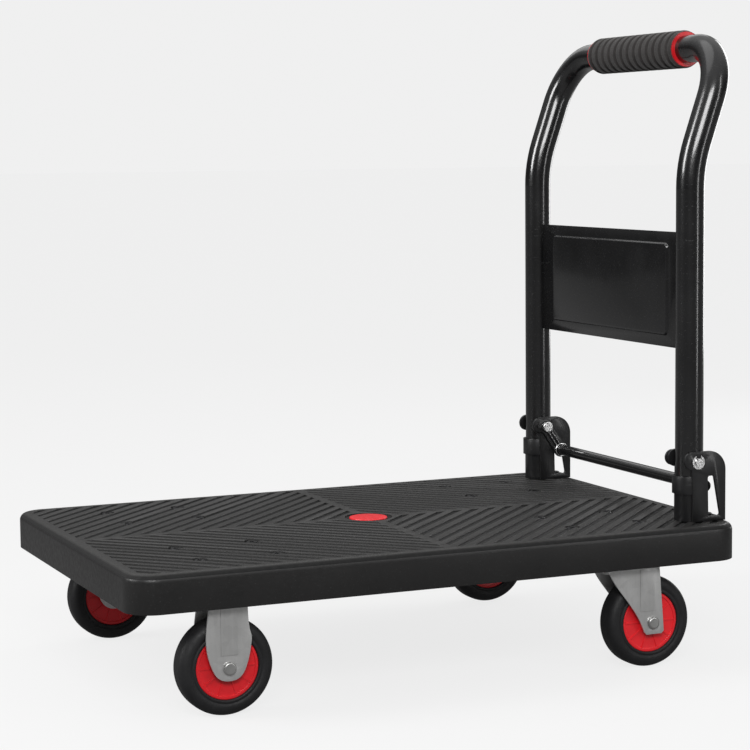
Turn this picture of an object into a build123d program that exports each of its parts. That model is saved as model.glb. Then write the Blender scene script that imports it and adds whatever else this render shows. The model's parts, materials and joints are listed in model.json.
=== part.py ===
from build123d import *
from math import atan2, cos, degrees, hypot, radians, sin, sqrt, tan
import os

# Folding platform cart. X runs along the deck with the handle at +X, Y runs across it,
# Z is up. The parts are drawn about the deck's middle and saved about the middle of the whole
# cart, whose handle leans out past the deck, with the origin on the floor. Millimetres.

# ---------------------------------------------------------------- deck
deck_length = 720.0
deck_width = 470.0
deck_above_wheels = 54.0
deck_skirt_height = 40.5
deck_corner_radius = 32.0
deck_edge_round = 8.0
deck_wall = 4.5
deck_plate_thickness = 6.5
rim_band = 15.0
groove_depth = 1.6
groove_pitch = 22.6        # along X or Y, between the diamonds
groove_width = 11.0        # along X or Y, at the deck's surface
plain_strip = 11.0         # flat strips along the two centre lines
rib_thickness = 3.0
rib_height = 18.5
rib_cells_long = 9
rib_cells_wide = 6
boss_diameter = 20.0
disc_diameter = 44.0
disc_thickness = 3.0
disc_ring_width = 6.0
disc_edge_round = 0.8

# ---------------------------------------------------------------- casters
wheel_diameter = 104.0
tyre_width = 30.0
tyre_side_gap = 2.5
tyre_shoulder = 9.0
hub_diameter = 69.0
hub_rim = 3.5
hub_rim_inset = 2.0         # from the tyre's side
hub_web = 24.0
hub_spokes = 10
hub_spoke_thickness = 1.6
hub_spoke_width = 25.6
hub_boss_diameter = 24.0
leg_thickness = 2.5
axle_diameter = 8.0
axle_head_diameter = 14.0
axle_head_height = 3.5
sleeve_wall = 2.0
running_clearance = 0.1
side_clearance = 0.5
caster_inset_y = 33.0       # from the deck's long edge
front_wheel_inset = 107.5   # from the deck's front edge
kingpin_inset = 136.0       # from the deck's rear edge
caster_trail = 26.5
caster_plate_length = 100.0
caster_plate_width = 50.0
caster_plate_thickness = 3.2
caster_bolt_spacing_x = 80.0
caster_bolt_spacing_y = 30.0
caster_plate_corner = 6.0
caster_bolt_diameter = 6.0
caster_bolt_head_diameter = 11.4
caster_bolt_head_height = 3.6
raceway_radius = 25.0
raceway_height = 6.0
raceway_edge_round = 1.5
ball_diameter = 5.0
ball_circle_radius = 18.5
ball_count = 16
crown_thickness = 3.0
kingpin_diameter = 12.0
kingpin_head_diameter = 21.6
kingpin_head_height = 3.5
kingpin_head_round = 1.5
crown_gap = 0.8
crown_boss_height = 5.5
crown_boss_radius = 26.0
crown_boss_taper = 8.0      # degrees
crown_front_reach = 34.0
crown_rear_reach = 36.0
crown_corner = 4.0
rigid_leg_top_half = 21.0
rigid_leg_wide_half = 25.0
rigid_leg_wide_height = 30.0    # above the axle
rigid_leg_axle_half = 18.5
rigid_leg_tip_drop = 13.5
swivel_leg_tip_half = 11.0
swivel_leg_tip_drop = 13.0
swivel_leg_tip_corner = 3.0
swivel_leg_sweep_height = 28.0  # above the axle
swivel_leg_sweep_x = -7.0
swivel_leg_top_slope = 0.45     # along X, for 1 down
swivel_leg_tip_slope = 0.35
leg_rib_width = 18.0
leg_rib_height = 1.0

# ---------------------------------------------------------------- mounting plates
plate_length = 144.0
plate_width = 150.0
plate_thickness = 3.0
plate_corner = 8.0
plate_inset_x = 53.0
plate_inset_y = 7.0
deck_bolt_inset_x = 139.0
deck_bolt_inset_y = 106.5
deck_bolt_spacing_x = 87.0
deck_bolt_spacing_y = 78.0
deck_bolt_diameter = 8.0
deck_bolt_head_diameter = 13.0
deck_bolt_head_height = 2.8
deck_bolt_recess_diameter = 17.0
deck_bolt_recess_depth = 3.4
hole_clearance = 0.3
nut_height_ratio = 0.8
nut_width_ratio = 1.625
nut_chamfer_ratio = 0.08
bolt_tail_ratio = 0.2
bolt_tip_chamfer_ratio = 0.1
bolt_head_round_ratio = 0.6

# ---------------------------------------------------------------- handle
tube_diameter = 32.0
tube_wall = 1.5
upright_inset_x = 40.5
upright_inset_y = 50.5
tube_end_height = 47.0      # this and the next heights are above the deck
lean_angle = 19.1
lean_start_height = 376.5
lean_bend_radius = 160.0
crossbar_height = 537.0
corner_radius = 60.0
grip_end_gap = 24.5         # from the bend to the grip's end
grip_wall = 6.0
grip_ring_wall = 4.5
grip_end_chamfer = 1.5
grip_ring_width = 5.0
grip_groove_count = 12
grip_groove_width = 5.0
grip_groove_depth = 2.2
panel_bottom_height = 194.5
panel_top_height = 327.5
panel_thickness = 1.5
panel_emboss_margin_y = 30.0
panel_emboss_margin_z = 13.0
panel_emboss_depth = 2.5
panel_emboss_corner = 6.0
panel_emboss_slope = 30.0
end_cap_flange = 1.5
end_cap_insert = 12.0

# ---------------------------------------------------------------- hinge
pivot_height = 68.5         # above the deck
pin_diameter = 9.0
pin_head_diameter = 13.5
pin_head_height = 3.0
pin_head_round = 1.0
clip_diameter = 16.0
clip_mouth_ratio = 0.7      # to the pin's diameter
clip_thickness = 1.2
pin_tail_past_clip = 1.5
pin_groove_depth = 1.0
bracket_sheet = 3.0
cheek_gap = 0.5
bracket_base_thickness = 3.0
collar_height = 20.0
collar_top_gap = 1.0
collar_gap = 0.3
collar_step = 2.5
wing_reach = 36.5
wing_top_above_pin = 12.0
wing_corner_radius = 22.0
ear_offset_x = 7.5
ear_offset_z = 1.5
ear_radius = 10.0
short_cheek_reach = 11.5
slot_top_width = 8.0
slot_bottom_width = 16.5
slot_edge_offset = 13.0
slot_edge_slant = 1.0
slot_bottom_lift = 6.0
slot_height = 46.0
slot_corner_radius = 2.5
bracket_bolt_diameter = 8.0
bracket_bolt_head_diameter = 12.8
bracket_bolt_head_height = 3.5
bracket_bolt_offsets = (-1.5, 24.0)
bar_diameter = 13.5
bar_offset_x = 21.5
bar_offset_z = -31.0
bar_overrun = 2.5
bar_end_round = 1.5
lever_thickness = 2.5
lever_gap = 0.5
lever_eye_radius = 9.5
lever_width = 16.0          # between its eyes
spring_wire = 2.0
spring_leg_diameter = 1.8
spring_leg_spacing = 4.6
lever_ear_offset_x = -10.0
lever_ear_offset_z = 1.8
lever_ear_radius = 9.0
rivet_diameter = 6.4
rivet_height = 2.5

# ---------------------------------------------------------------- worked out from the sizes above
deck_top_z = wheel_diameter + deck_above_wheels
skirt_bottom_z = deck_top_z - deck_skirt_height
deck_inside_z = deck_top_z - deck_plate_thickness
rib_bottom_z = deck_inside_z - rib_height
plate_bottom_z = rib_bottom_z - plate_thickness
caster_plate_bottom_z = plate_bottom_z - caster_plate_thickness
wheel_radius = wheel_diameter / 2
sleeve_diameter = axle_diameter + 2 * sleeve_wall
leg_gap = tyre_width + 2 * tyre_side_gap
leg_outer = leg_gap / 2 + leg_thickness
caster_y = deck_width / 2 - caster_inset_y
front_wheel_x = front_wheel_inset - deck_length / 2
kingpin_x = deck_length / 2 - kingpin_inset
rear_wheel_x = kingpin_x + caster_trail
crown_top_z = caster_plate_bottom_z - raceway_height - crown_gap
plate_x = (deck_length - plate_length) / 2 - plate_inset_x
plate_y = (deck_width - plate_width) / 2 - plate_inset_y
deck_bolt_x = deck_length / 2 - deck_bolt_inset_x
deck_bolt_y = deck_width / 2 - deck_bolt_inset_y
tube_radius = tube_diameter / 2
upright_x = deck_length / 2 - upright_inset_x
upright_y = deck_width / 2 - upright_inset_y
tube_end_z = deck_top_z + tube_end_height
lean_start_z = deck_top_z + lean_start_height
crossbar_z = deck_top_z + crossbar_height
lean = radians(lean_angle)
lean_bend_end_x = upright_x + lean_bend_radius * (1 - cos(lean))
lean_bend_end_z = lean_start_z + lean_bend_radius * sin(lean)
lean_length = (crossbar_z - lean_bend_end_z) / cos(lean)
crossbar_x = lean_bend_end_x + (crossbar_z - lean_bend_end_z) * tan(lean)
grip_length = 2 * (upright_y - corner_radius - grip_end_gap)
grip_diameter = tube_diameter + 2 * grip_wall
grip_ring_diameter = tube_diameter + 2 * grip_ring_wall
panel_bottom_z = deck_top_z + panel_bottom_height
panel_top_z = deck_top_z + panel_top_height
pivot_z = deck_top_z + pivot_height
wing_back_x = upright_x + wing_reach
bar_arm = hypot(bar_offset_x, bar_offset_z)
bar_angle = degrees(atan2(bar_offset_z, bar_offset_x))
bar_x = upright_x + bar_offset_x
bar_z = pivot_z + bar_offset_z
cheek_inner = tube_radius + cheek_gap
cheek_outer = cheek_inner + bracket_sheet
collar_top_z = pivot_z - tube_radius - collar_top_gap
inside_half_length = deck_length / 2 - deck_wall
inside_half_width = deck_width / 2 - deck_wall
lever_face = cheek_outer + lever_gap
spring_plane_offset = lever_face + lever_thickness + lever_gap + spring_wire / 2
pin_head_face = spring_plane_offset + spring_wire / 2 + lever_gap
clip_face = cheek_outer + lever_gap / 2
pin_tail = clip_face + clip_thickness + pin_tail_past_clip
cart_middle_x = (crossbar_x + grip_diameter / 2 - deck_length / 2) / 2

os.makedirs("parts", exist_ok=True)


def save(part, name):
    placed = Pos(-cart_middle_x, 0, 0) * part
    placed.label = name
    export_step(placed, f"parts/{name}.step")


def at_height(points, z):
    return [(x, y, z) for x, y in points]


def hex_nut(bore):
    """A plain nut standing on Z = 0."""
    height = bore * nut_height_ratio
    with BuildPart() as nut:
        with BuildSketch():
            RegularPolygon(radius=bore * nut_width_ratio / 2, side_count=6, major_radius=False)
            Circle(bore / 2, mode=Mode.SUBTRACT)
        extrude(amount=height)
        chamfer(nut.edges().filter_by(GeomType.LINE).group_by(Axis.Z)[0], length=height * nut_chamfer_ratio)
    return nut.part


def pan_bolt(shank, head, head_height, length):
    """A round-headed bolt whose head stands on Z = 0 and whose shank hangs below."""
    with BuildPart() as bolt:
        with BuildSketch():
            Circle(head / 2)
        extrude(amount=head_height)
        fillet(bolt.edges().group_by(Axis.Z)[-1], radius=head_height * bolt_head_round_ratio)
        with BuildSketch():
            Circle(shank / 2)
        extrude(amount=-length)
        chamfer(bolt.edges().group_by(Axis.Z)[0], length=shank * bolt_tip_chamfer_ratio)
    return bolt.part


# ================================================================ deck
def deck_bolt_points():
    points = []
    for side_x in (-1, 1):
        for side_y in (-1, 1):
            for step_x in (-0.5, 0.5):
                for step_y in (-0.5, 0.5):
                    x = side_x * deck_bolt_x + step_x * deck_bolt_spacing_x
                    y = side_y * deck_bolt_y + step_y * deck_bolt_spacing_y
                    points.append((x, y))
    return points


def caster_bolt_points():
    points = []
    for centre_x in (front_wheel_x, kingpin_x):
        for side_y in (-1, 1):
            for step_x in (-0.5, 0.5):
                for step_y in (-0.5, 0.5):
                    x = centre_x + step_x * caster_bolt_spacing_x
                    y = side_y * caster_y + step_y * caster_bolt_spacing_y
                    points.append((x, y))
    return points


def bracket_bolt_points():
    points = []
    for side_y in (-1, 1):
        for offset in bracket_bolt_offsets:
            points.append((upright_x + offset, side_y * upright_y))
    return points


def groove_quadrant():
    """The grooves of one quarter of the deck, as a separate cutter."""
    reach_x = deck_length / 2 - rim_band
    reach_y = deck_width / 2 - rim_band
    count = int((reach_x + reach_y) / groove_pitch)
    edge = plain_strip / 2
    ring = disc_diameter / 2 + disc_ring_width + rib_thickness
    with BuildPart() as grooves:
        with BuildSketch(Plane.XY.offset(deck_top_z)):
            for step in range(1, count + 1):
                near = step * groove_pitch
                far = near + groove_width
                with BuildLine():
                    Polyline((near, 0), (far, 0), (0, far), (0, near), close=True)
                make_face()
            with Locations(((edge + reach_x) / 2, (edge + reach_y) / 2)):
                Rectangle(reach_x - edge, reach_y - edge, mode=Mode.INTERSECT)
            Circle(ring, mode=Mode.SUBTRACT)
        extrude(amount=-groove_depth)
    return grooves.part


def make_deck():
    quarter = groove_quadrant()
    mirrored_quarter = mirror(quarter, about=Plane.XZ)
    with BuildPart() as deck:
        with BuildSketch(Plane.XY.offset(skirt_bottom_z)):
            RectangleRounded(deck_length, deck_width, deck_corner_radius)
        extrude(amount=deck_skirt_height)
        fillet(deck.faces().sort_by(Axis.Z)[-1].edges(), radius=deck_edge_round)
        with BuildSketch(Plane.XY.offset(skirt_bottom_z)):
            RectangleRounded(2 * inside_half_length, 2 * inside_half_width, deck_corner_radius - deck_wall)
        extrude(amount=deck_inside_z - skirt_bottom_z, mode=Mode.SUBTRACT)
        for turn in (0, 180):
            add(quarter, rotation=(0, 0, turn), mode=Mode.SUBTRACT)
            add(mirrored_quarter, rotation=(0, 0, turn), mode=Mode.SUBTRACT)
        with BuildSketch(Plane.XY.offset(rib_bottom_z)):
            for index in range(1, rib_cells_long):
                with Locations((inside_half_length * (2 * index / rib_cells_long - 1), 0)):
                    Rectangle(rib_thickness, 2 * inside_half_width)
            for index in range(1, rib_cells_wide):
                with Locations((0, inside_half_width * (2 * index / rib_cells_wide - 1))):
                    Rectangle(2 * inside_half_length, rib_thickness)
            with Locations(*deck_bolt_points()):
                Circle(boss_diameter / 2)
            nut_pocket = boss_diameter / 2
            with Locations(*caster_bolt_points()):
                Circle(nut_pocket, mode=Mode.SUBTRACT)
            with Locations(*bracket_bolt_points()):
                Circle(nut_pocket, mode=Mode.SUBTRACT)
        extrude(amount=rib_height)
        with Locations(*[Location((x, y, deck_top_z)) for x, y in deck_bolt_points()]):
            CounterBoreHole(
                radius=deck_bolt_diameter / 2 + hole_clearance,
                counter_bore_radius=deck_bolt_recess_diameter / 2,
                counter_bore_depth=deck_bolt_recess_depth,
                depth=deck_top_z - rib_bottom_z,
            )
        with Locations(*[Location((x, y, deck_top_z)) for x, y in bracket_bolt_points()]):
            Hole(radius=bracket_bolt_diameter / 2 + hole_clearance, depth=deck_plate_thickness)
        with BuildSketch(Plane.XY.offset(deck_top_z)):
            Circle(disc_diameter / 2 + disc_ring_width)
            Circle(disc_diameter / 2 + hole_clearance, mode=Mode.SUBTRACT)
        extrude(amount=-groove_depth, mode=Mode.SUBTRACT)
        with BuildSketch(Plane.XY.offset(deck_top_z)):
            Circle(disc_diameter / 2 + hole_clearance)
        extrude(amount=-disc_thickness, mode=Mode.SUBTRACT)
    save(deck.part, "deck")


def make_centre_disc():
    with BuildPart() as centre_disc:
        with BuildSketch(Plane.XY.offset(deck_top_z - disc_thickness)):
            Circle(disc_diameter / 2)
        extrude(amount=disc_thickness)
        fillet(centre_disc.edges().group_by(Axis.Z)[-1], radius=disc_edge_round)
    save(centre_disc.part, "centre_disc")


def make_deck_fasteners():
    shank_top = deck_top_z - deck_bolt_recess_depth
    nut_height = deck_bolt_diameter * nut_height_ratio
    shank = shank_top - plate_bottom_z + nut_height + deck_bolt_diameter * bolt_tail_ratio
    bolt = pan_bolt(deck_bolt_diameter, deck_bolt_head_diameter, deck_bolt_head_height, shank)
    nut = hex_nut(deck_bolt_diameter)
    with BuildPart() as deck_bolts:
        with Locations(*at_height(deck_bolt_points(), shank_top)):
            add(bolt)
    save(deck_bolts.part, "deck_bolts")
    with BuildPart() as deck_nuts:
        with Locations(*at_height(deck_bolt_points(), plate_bottom_z - nut_height)):
            add(nut)
    save(deck_nuts.part, "deck_nuts")


def make_mount_plates():
    for end_name, end, caster_x in (("front", -1, front_wheel_x), ("rear", 1, kingpin_x)):
        for side_name, side in (("left", -1), ("right", 1)):
            with BuildPart() as plate:
                with BuildSketch(Plane.XY.offset(plate_bottom_z)):
                    with Locations((end * plate_x, side * plate_y)):
                        RectangleRounded(plate_length, plate_width, plate_corner)
                    with Locations((end * deck_bolt_x, side * deck_bolt_y)):
                        with GridLocations(deck_bolt_spacing_x, deck_bolt_spacing_y, 2, 2):
                            Circle(deck_bolt_diameter / 2 + hole_clearance, mode=Mode.SUBTRACT)
                    with Locations((caster_x, side * caster_y)):
                        with GridLocations(caster_bolt_spacing_x, caster_bolt_spacing_y, 2, 2):
                            Circle(caster_bolt_diameter / 2 + hole_clearance, mode=Mode.SUBTRACT)
                extrude(amount=plate_thickness)
            save(plate.part, f"mount_plate_{end_name}_{side_name}")


def make_caster_fasteners():
    clamped = caster_plate_thickness + plate_thickness
    shank = clamped + caster_bolt_diameter * (nut_height_ratio + bolt_tail_ratio)
    bolt = pan_bolt(caster_bolt_diameter, caster_bolt_head_diameter, caster_bolt_head_height, shank)
    nut = hex_nut(caster_bolt_diameter)
    with BuildPart() as caster_bolts:
        with Locations(*at_height(caster_bolt_points(), caster_plate_bottom_z)):
            add(bolt, rotation=(180, 0, 0))
    save(caster_bolts.part, "caster_bolts")
    with BuildPart() as caster_nuts:
        with Locations(*at_height(caster_bolt_points(), rib_bottom_z)):
            add(nut)
    save(caster_nuts.part, "caster_nuts")


# ================================================================ wheels
def wheel_axis_plane(x, y):
    """A plane whose X and Y run along the world's X and Z, facing -Y, at an axle's middle."""
    return Plane(origin=(x, y, wheel_radius), x_dir=(1, 0, 0), z_dir=(0, -1, 0))


def make_hub(x, y, name):
    plane = wheel_axis_plane(x, y)
    rim_half = tyre_width / 2 - hub_rim_inset
    boss_half = leg_gap / 2 - side_clearance
    bore = sleeve_diameter / 2 + running_clearance
    with BuildPart() as hub:
        with BuildSketch(plane):
            Circle(hub_diameter / 2)
            Circle(hub_diameter / 2 - hub_rim, mode=Mode.SUBTRACT)
        extrude(amount=rim_half, both=True)
        with BuildSketch(plane):
            Circle(hub_diameter / 2 - hub_rim / 2)
        extrude(amount=hub_web / 2, both=True)
        with BuildSketch(plane):
            with PolarLocations(0, hub_spokes):
                with Locations((hub_diameter / 4, 0)):
                    Rectangle(hub_diameter / 2 - hub_rim, hub_spoke_thickness)
        extrude(amount=hub_spoke_width / 2, both=True)
        with BuildSketch(plane):
            Circle(hub_boss_diameter / 2)
        extrude(amount=boss_half, both=True)
        with BuildSketch(plane):
            Circle(bore)
        extrude(amount=boss_half, both=True, mode=Mode.SUBTRACT)
    save(hub.part, name)


def make_tyre(x, y, name):
    inner = hub_diameter / 2
    with BuildPart() as tyre:
        with BuildSketch(Plane(origin=(x, y, wheel_radius), x_dir=(0, 1, 0), z_dir=(1, 0, 0))) as section:
            with Locations((0, (inner + wheel_radius) / 2)):
                Rectangle(tyre_width, wheel_radius - inner)
            fillet(section.vertices().group_by(Axis.Y)[-1], radius=tyre_shoulder)
        revolve(axis=Axis((x, y, wheel_radius), (0, 1, 0)))
    save(tyre.part, name)


def along_axle(x, y, start):
    """A plane across an axle, facing +Y, this far along Y from the wheel's middle."""
    return Plane(origin=(x, y + start, wheel_radius), x_dir=(1, 0, 0), z_dir=(0, 1, 0))


def make_axle_parts(x, y, side, corner):
    """The bolt's head is on the cart's outer side and its nut is on the inner side."""
    length = 2 * leg_outer + axle_diameter * (nut_height_ratio + bolt_tail_ratio)
    bolt = pan_bolt(axle_diameter, axle_head_diameter, axle_head_height, length)
    with BuildPart() as axle_bolt:
        with Locations((x, y + side * leg_outer, wheel_radius)):
            add(bolt, rotation=(-90 * side, 0, 0))
    save(axle_bolt.part, f"axle_bolt_{corner}")
    with BuildPart() as sleeve:
        with BuildSketch(along_axle(x, y, 0)):
            Circle(sleeve_diameter / 2)
            Circle(axle_diameter / 2 + running_clearance / 2, mode=Mode.SUBTRACT)
        extrude(amount=leg_gap / 2, both=True)
    save(sleeve.part, f"axle_sleeve_{corner}")
    with BuildPart() as axle_nut:
        with Locations((x, y - side * leg_outer, wheel_radius)):
            add(hex_nut(axle_diameter), rotation=(90 * side, 0, 0))
    return axle_nut.part


# ================================================================ forks
def facing_minus_y(y):
    return Plane(origin=(0, y, 0), x_dir=(1, 0, 0), z_dir=(0, -1, 0))


def leg_planes(y):
    """The two planes that the fork's legs are extruded from, both facing -Y."""
    return [facing_minus_y(plane_y) for plane_y in (y - leg_gap / 2, y + leg_outer)]


def caster_plate_sketch(x, y):
    with Locations((x, y)):
        RectangleRounded(caster_plate_length, caster_plate_width, caster_plate_corner)
    with Locations((x, y)):
        with GridLocations(caster_bolt_spacing_x, caster_bolt_spacing_y, 2, 2):
            Circle(caster_bolt_diameter / 2 + hole_clearance, mode=Mode.SUBTRACT)


def make_rigid_fork(y, name):
    x = front_wheel_x
    top = caster_plate_bottom_z
    wide_z = wheel_radius + rigid_leg_wide_height
    tip_z = wheel_radius - rigid_leg_tip_drop
    with BuildPart() as fork:
        with BuildSketch(Plane.XY.offset(caster_plate_bottom_z)):
            caster_plate_sketch(x, y)
        extrude(amount=caster_plate_thickness)
        for plane in leg_planes(y):
            with BuildSketch(plane):
                with BuildLine():
                    Spline(
                        (x - rigid_leg_top_half, top),
                        (x - rigid_leg_wide_half, wide_z),
                        (x - rigid_leg_axle_half, wheel_radius),
                        (x, tip_z),
                        tangents=((0, -1), (1, 0)),
                    )
                    Spline(
                        (x, tip_z),
                        (x + rigid_leg_axle_half, wheel_radius),
                        (x + rigid_leg_wide_half, wide_z),
                        (x + rigid_leg_top_half, top),
                        tangents=((1, 0), (0, 1)),
                    )
                    Line((x + rigid_leg_top_half, top), (x - rigid_leg_top_half, top))
                make_face()
                with Locations((x, wheel_radius)):
                    Circle(axle_diameter / 2 + hole_clearance, mode=Mode.SUBTRACT)
            extrude(amount=leg_thickness)
        for face_y, outward in ((y - leg_outer, -1), (y + leg_outer, 1)):
            rib_bottom = wheel_radius + axle_head_diameter
            with Locations((x, face_y + outward * leg_rib_height / 2, (top + rib_bottom) / 2)):
                Box(leg_rib_width, leg_rib_height, top - rib_bottom)
    save(fork.part, name)


def make_swivel_plate(y, name):
    bottom = caster_plate_bottom_z - raceway_height
    with BuildPart() as swivel_plate:
        with BuildSketch(Plane.XY.offset(caster_plate_bottom_z)):
            caster_plate_sketch(kingpin_x, y)
        extrude(amount=caster_plate_thickness)
        with BuildSketch(Plane.XY.offset(bottom)):
            with Locations((kingpin_x, y)):
                Circle(raceway_radius)
        extrude(amount=raceway_height)
        raceway_rim = swivel_plate.edges().filter_by(GeomType.CIRCLE).group_by(Axis.Z)[0]
        fillet(raceway_rim, radius=raceway_edge_round)
        with BuildSketch(Plane(origin=(kingpin_x, y, bottom), x_dir=(1, 0, 0), z_dir=(0, -1, 0))):
            with Locations((ball_circle_radius, 0)):
                Circle(ball_diameter / 2 + running_clearance)
        revolve(axis=Axis((kingpin_x, y, 0), (0, 0, 1)), mode=Mode.SUBTRACT)
        with BuildSketch(Plane.XY.offset(bottom)):
            with Locations((kingpin_x, y)):
                Circle(kingpin_diameter / 2)
        extrude(amount=raceway_height + caster_plate_thickness, mode=Mode.SUBTRACT)
    save(swivel_plate.part, name)


def make_swivel_fork(y, name):
    plate_top = crown_top_z - crown_boss_height
    plate_bottom = plate_top - crown_thickness
    front = kingpin_x - crown_front_reach
    rear = kingpin_x + crown_rear_reach
    tip_front = rear_wheel_x - swivel_leg_tip_half
    tip_rear = rear_wheel_x + swivel_leg_tip_half + swivel_leg_tip_corner
    tip_z = wheel_radius - swivel_leg_tip_drop
    leg_front = front + crown_corner
    with BuildPart() as fork:
        with BuildSketch(Plane.XY.offset(plate_bottom)):
            with Locations(((front + rear) / 2, y)):
                RectangleRounded(rear - front, 2 * leg_outer, crown_corner)
        extrude(amount=crown_thickness)
        with BuildSketch(Plane.XY.offset(plate_top)):
            with Locations((kingpin_x, y)):
                Circle(crown_boss_radius)
        extrude(amount=crown_boss_height, taper=crown_boss_taper)
        for plane in leg_planes(y):
            with BuildSketch(plane):
                with BuildLine():
                    Spline(
                        (leg_front, plate_top),
                        (kingpin_x + swivel_leg_sweep_x, wheel_radius + swivel_leg_sweep_height),
                        (tip_front, tip_z + swivel_leg_tip_corner),
                        tangents=((swivel_leg_top_slope, -1), (swivel_leg_tip_slope, -1)),
                    )
                    Polyline(
                        (tip_front, tip_z + swivel_leg_tip_corner),
                        (tip_front + swivel_leg_tip_corner, tip_z),
                        (tip_rear - swivel_leg_tip_corner, tip_z),
                        (tip_rear, tip_z + swivel_leg_tip_corner),
                        (rear - leg_rib_height, plate_top),
                        (leg_front, plate_top),
                    )
                make_face()
                with Locations((rear_wheel_x, wheel_radius)):
                    Circle(axle_diameter / 2 + hole_clearance, mode=Mode.SUBTRACT)
            extrude(amount=leg_thickness)
        rib_x = (front + rear) / 2 + leg_rib_width
        for face_y, outward in ((y - leg_outer, -1), (y + leg_outer, 1)):
            rib_bottom = wheel_radius + axle_head_diameter
            with Locations((rib_x, face_y + outward * leg_rib_height / 2, (plate_top + rib_bottom) / 2)):
                Box(leg_rib_width, leg_rib_height, plate_top - rib_bottom)
        balls = Plane(origin=(kingpin_x, y, crown_top_z + crown_gap), x_dir=(1, 0, 0), z_dir=(0, -1, 0))
        with BuildSketch(balls):
            with Locations((ball_circle_radius, 0)):
                Circle(ball_diameter / 2 + running_clearance)
        revolve(axis=Axis((kingpin_x, y, 0), (0, 0, 1)), mode=Mode.SUBTRACT)
        with BuildSketch(Plane.XY.offset(plate_bottom)):
            with Locations((kingpin_x, y)):
                Circle(kingpin_diameter / 2 + running_clearance)
        extrude(amount=crown_thickness + crown_boss_height, mode=Mode.SUBTRACT)
    save(fork.part, name)


def make_bearing(y, side_name):
    balls_z = crown_top_z + crown_gap
    with BuildPart() as bearing_balls:
        with Locations((kingpin_x, y, balls_z)):
            with PolarLocations(ball_circle_radius, ball_count):
                Sphere(ball_diameter / 2)
    save(bearing_balls.part, f"bearing_balls_{side_name}")
    head_top = crown_top_z - crown_boss_height - crown_thickness - hole_clearance
    with BuildPart() as kingpin:
        with BuildSketch(Plane.XY.offset(head_top - kingpin_head_height)):
            with Locations((kingpin_x, y)):
                Circle(kingpin_head_diameter / 2)
        extrude(amount=kingpin_head_height)
        fillet(kingpin.edges().group_by(Axis.Z)[0], radius=kingpin_head_round)
        with BuildSketch(Plane.XY.offset(head_top)):
            with Locations((kingpin_x, y)):
                Circle(kingpin_diameter / 2)
        extrude(amount=plate_bottom_z - head_top)
    save(kingpin.part, f"kingpin_{side_name}")


def make_casters():
    front_nuts = []
    for side_name, side in (("left", -1), ("right", 1)):
        y = side * caster_y
        corner = f"front_{side_name}"
        make_rigid_fork(y, f"fork_{corner}")
        make_hub(front_wheel_x, y, f"hub_{corner}")
        make_tyre(front_wheel_x, y, f"tyre_{corner}")
        front_nuts.append(make_axle_parts(front_wheel_x, y, side, corner))
        corner = f"rear_{side_name}"
        make_swivel_plate(y, f"swivel_plate_{side_name}")
        make_bearing(y, side_name)
        make_swivel_fork(y, f"fork_{corner}")
        make_hub(rear_wheel_x, y, f"hub_{corner}")
        make_tyre(rear_wheel_x, y, f"tyre_{corner}")
        save(make_axle_parts(rear_wheel_x, y, side, corner), f"axle_nut_{corner}")
    with BuildPart() as front_axle_nuts:
        for nut in front_nuts:
            add(nut)
    save(front_axle_nuts.part, "front_axle_nuts")


# ================================================================ handle
def upright_path(side):
    """The line of one upright's middle, from its lower end to the middle of the crossbar."""
    y = side * upright_y
    corner_start = lean_length - corner_radius
    corner_x = lean_bend_end_x + corner_start * sin(lean)
    corner_z = lean_bend_end_z + corner_start * cos(lean)
    middle = 1 - 1 / sqrt(2)
    half_x = crossbar_x - corner_radius * middle * sin(lean)
    half_z = crossbar_z - corner_radius * middle * cos(lean)
    bend_mid_x = upright_x + lean_bend_radius * (1 - cos(lean / 2))
    bend_mid_z = lean_start_z + lean_bend_radius * sin(lean / 2)
    start = (upright_x, y, tube_end_z)
    bend_start = (upright_x, y, lean_start_z)
    bend_middle = (bend_mid_x, y, bend_mid_z)
    bend_end = (lean_bend_end_x, y, lean_bend_end_z)
    corner_begin = (corner_x, y, corner_z)
    corner_middle = (half_x, y - side * corner_radius * middle, half_z)
    corner_end = (crossbar_x, y - side * corner_radius, crossbar_z)
    Line(start, bend_start)
    ThreePointArc(bend_start, bend_middle, bend_end)
    Line(bend_end, corner_begin)
    ThreePointArc(corner_begin, corner_middle, corner_end)
    Line(corner_end, (crossbar_x, 0, crossbar_z))


def tube_half(side, radius):
    with BuildPart() as half:
        with BuildLine() as path:
            upright_path(side)
        with BuildSketch(Plane.XY.offset(tube_end_z)):
            with Locations((upright_x, side * upright_y)):
                Circle(radius)
        sweep(path=path.wires()[0])
    return half.part


def make_handle_tube():
    with BuildPart() as handle_tube:
        for side in (-1, 1):
            add(tube_half(side, tube_radius))
        for side in (-1, 1):
            add(tube_half(side, tube_radius - tube_wall), mode=Mode.SUBTRACT)
        with BuildSketch(Plane.XZ):
            with Locations((upright_x, pivot_z)):
                Circle(pin_diameter / 2 + running_clearance)
        extrude(amount=upright_y + tube_diameter, both=True, mode=Mode.SUBTRACT)
    save(handle_tube.part, "handle_tube")


def make_end_caps():
    with BuildPart() as tube_end_caps:
        for side in (-1, 1):
            with BuildSketch(Plane.XY.offset(tube_end_z - end_cap_flange)):
                with Locations((upright_x, side * upright_y)):
                    Circle(tube_radius)
            extrude(amount=end_cap_flange)
            with BuildSketch(Plane.XY.offset(tube_end_z)):
                with Locations((upright_x, side * upright_y)):
                    Circle(tube_radius - tube_wall)
            extrude(amount=end_cap_insert)
    save(tube_end_caps.part, "tube_end_caps")


def crossbar_plane(y):
    return Plane(origin=(crossbar_x, y, crossbar_z), x_dir=(1, 0, 0), z_dir=(0, 1, 0))


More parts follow.
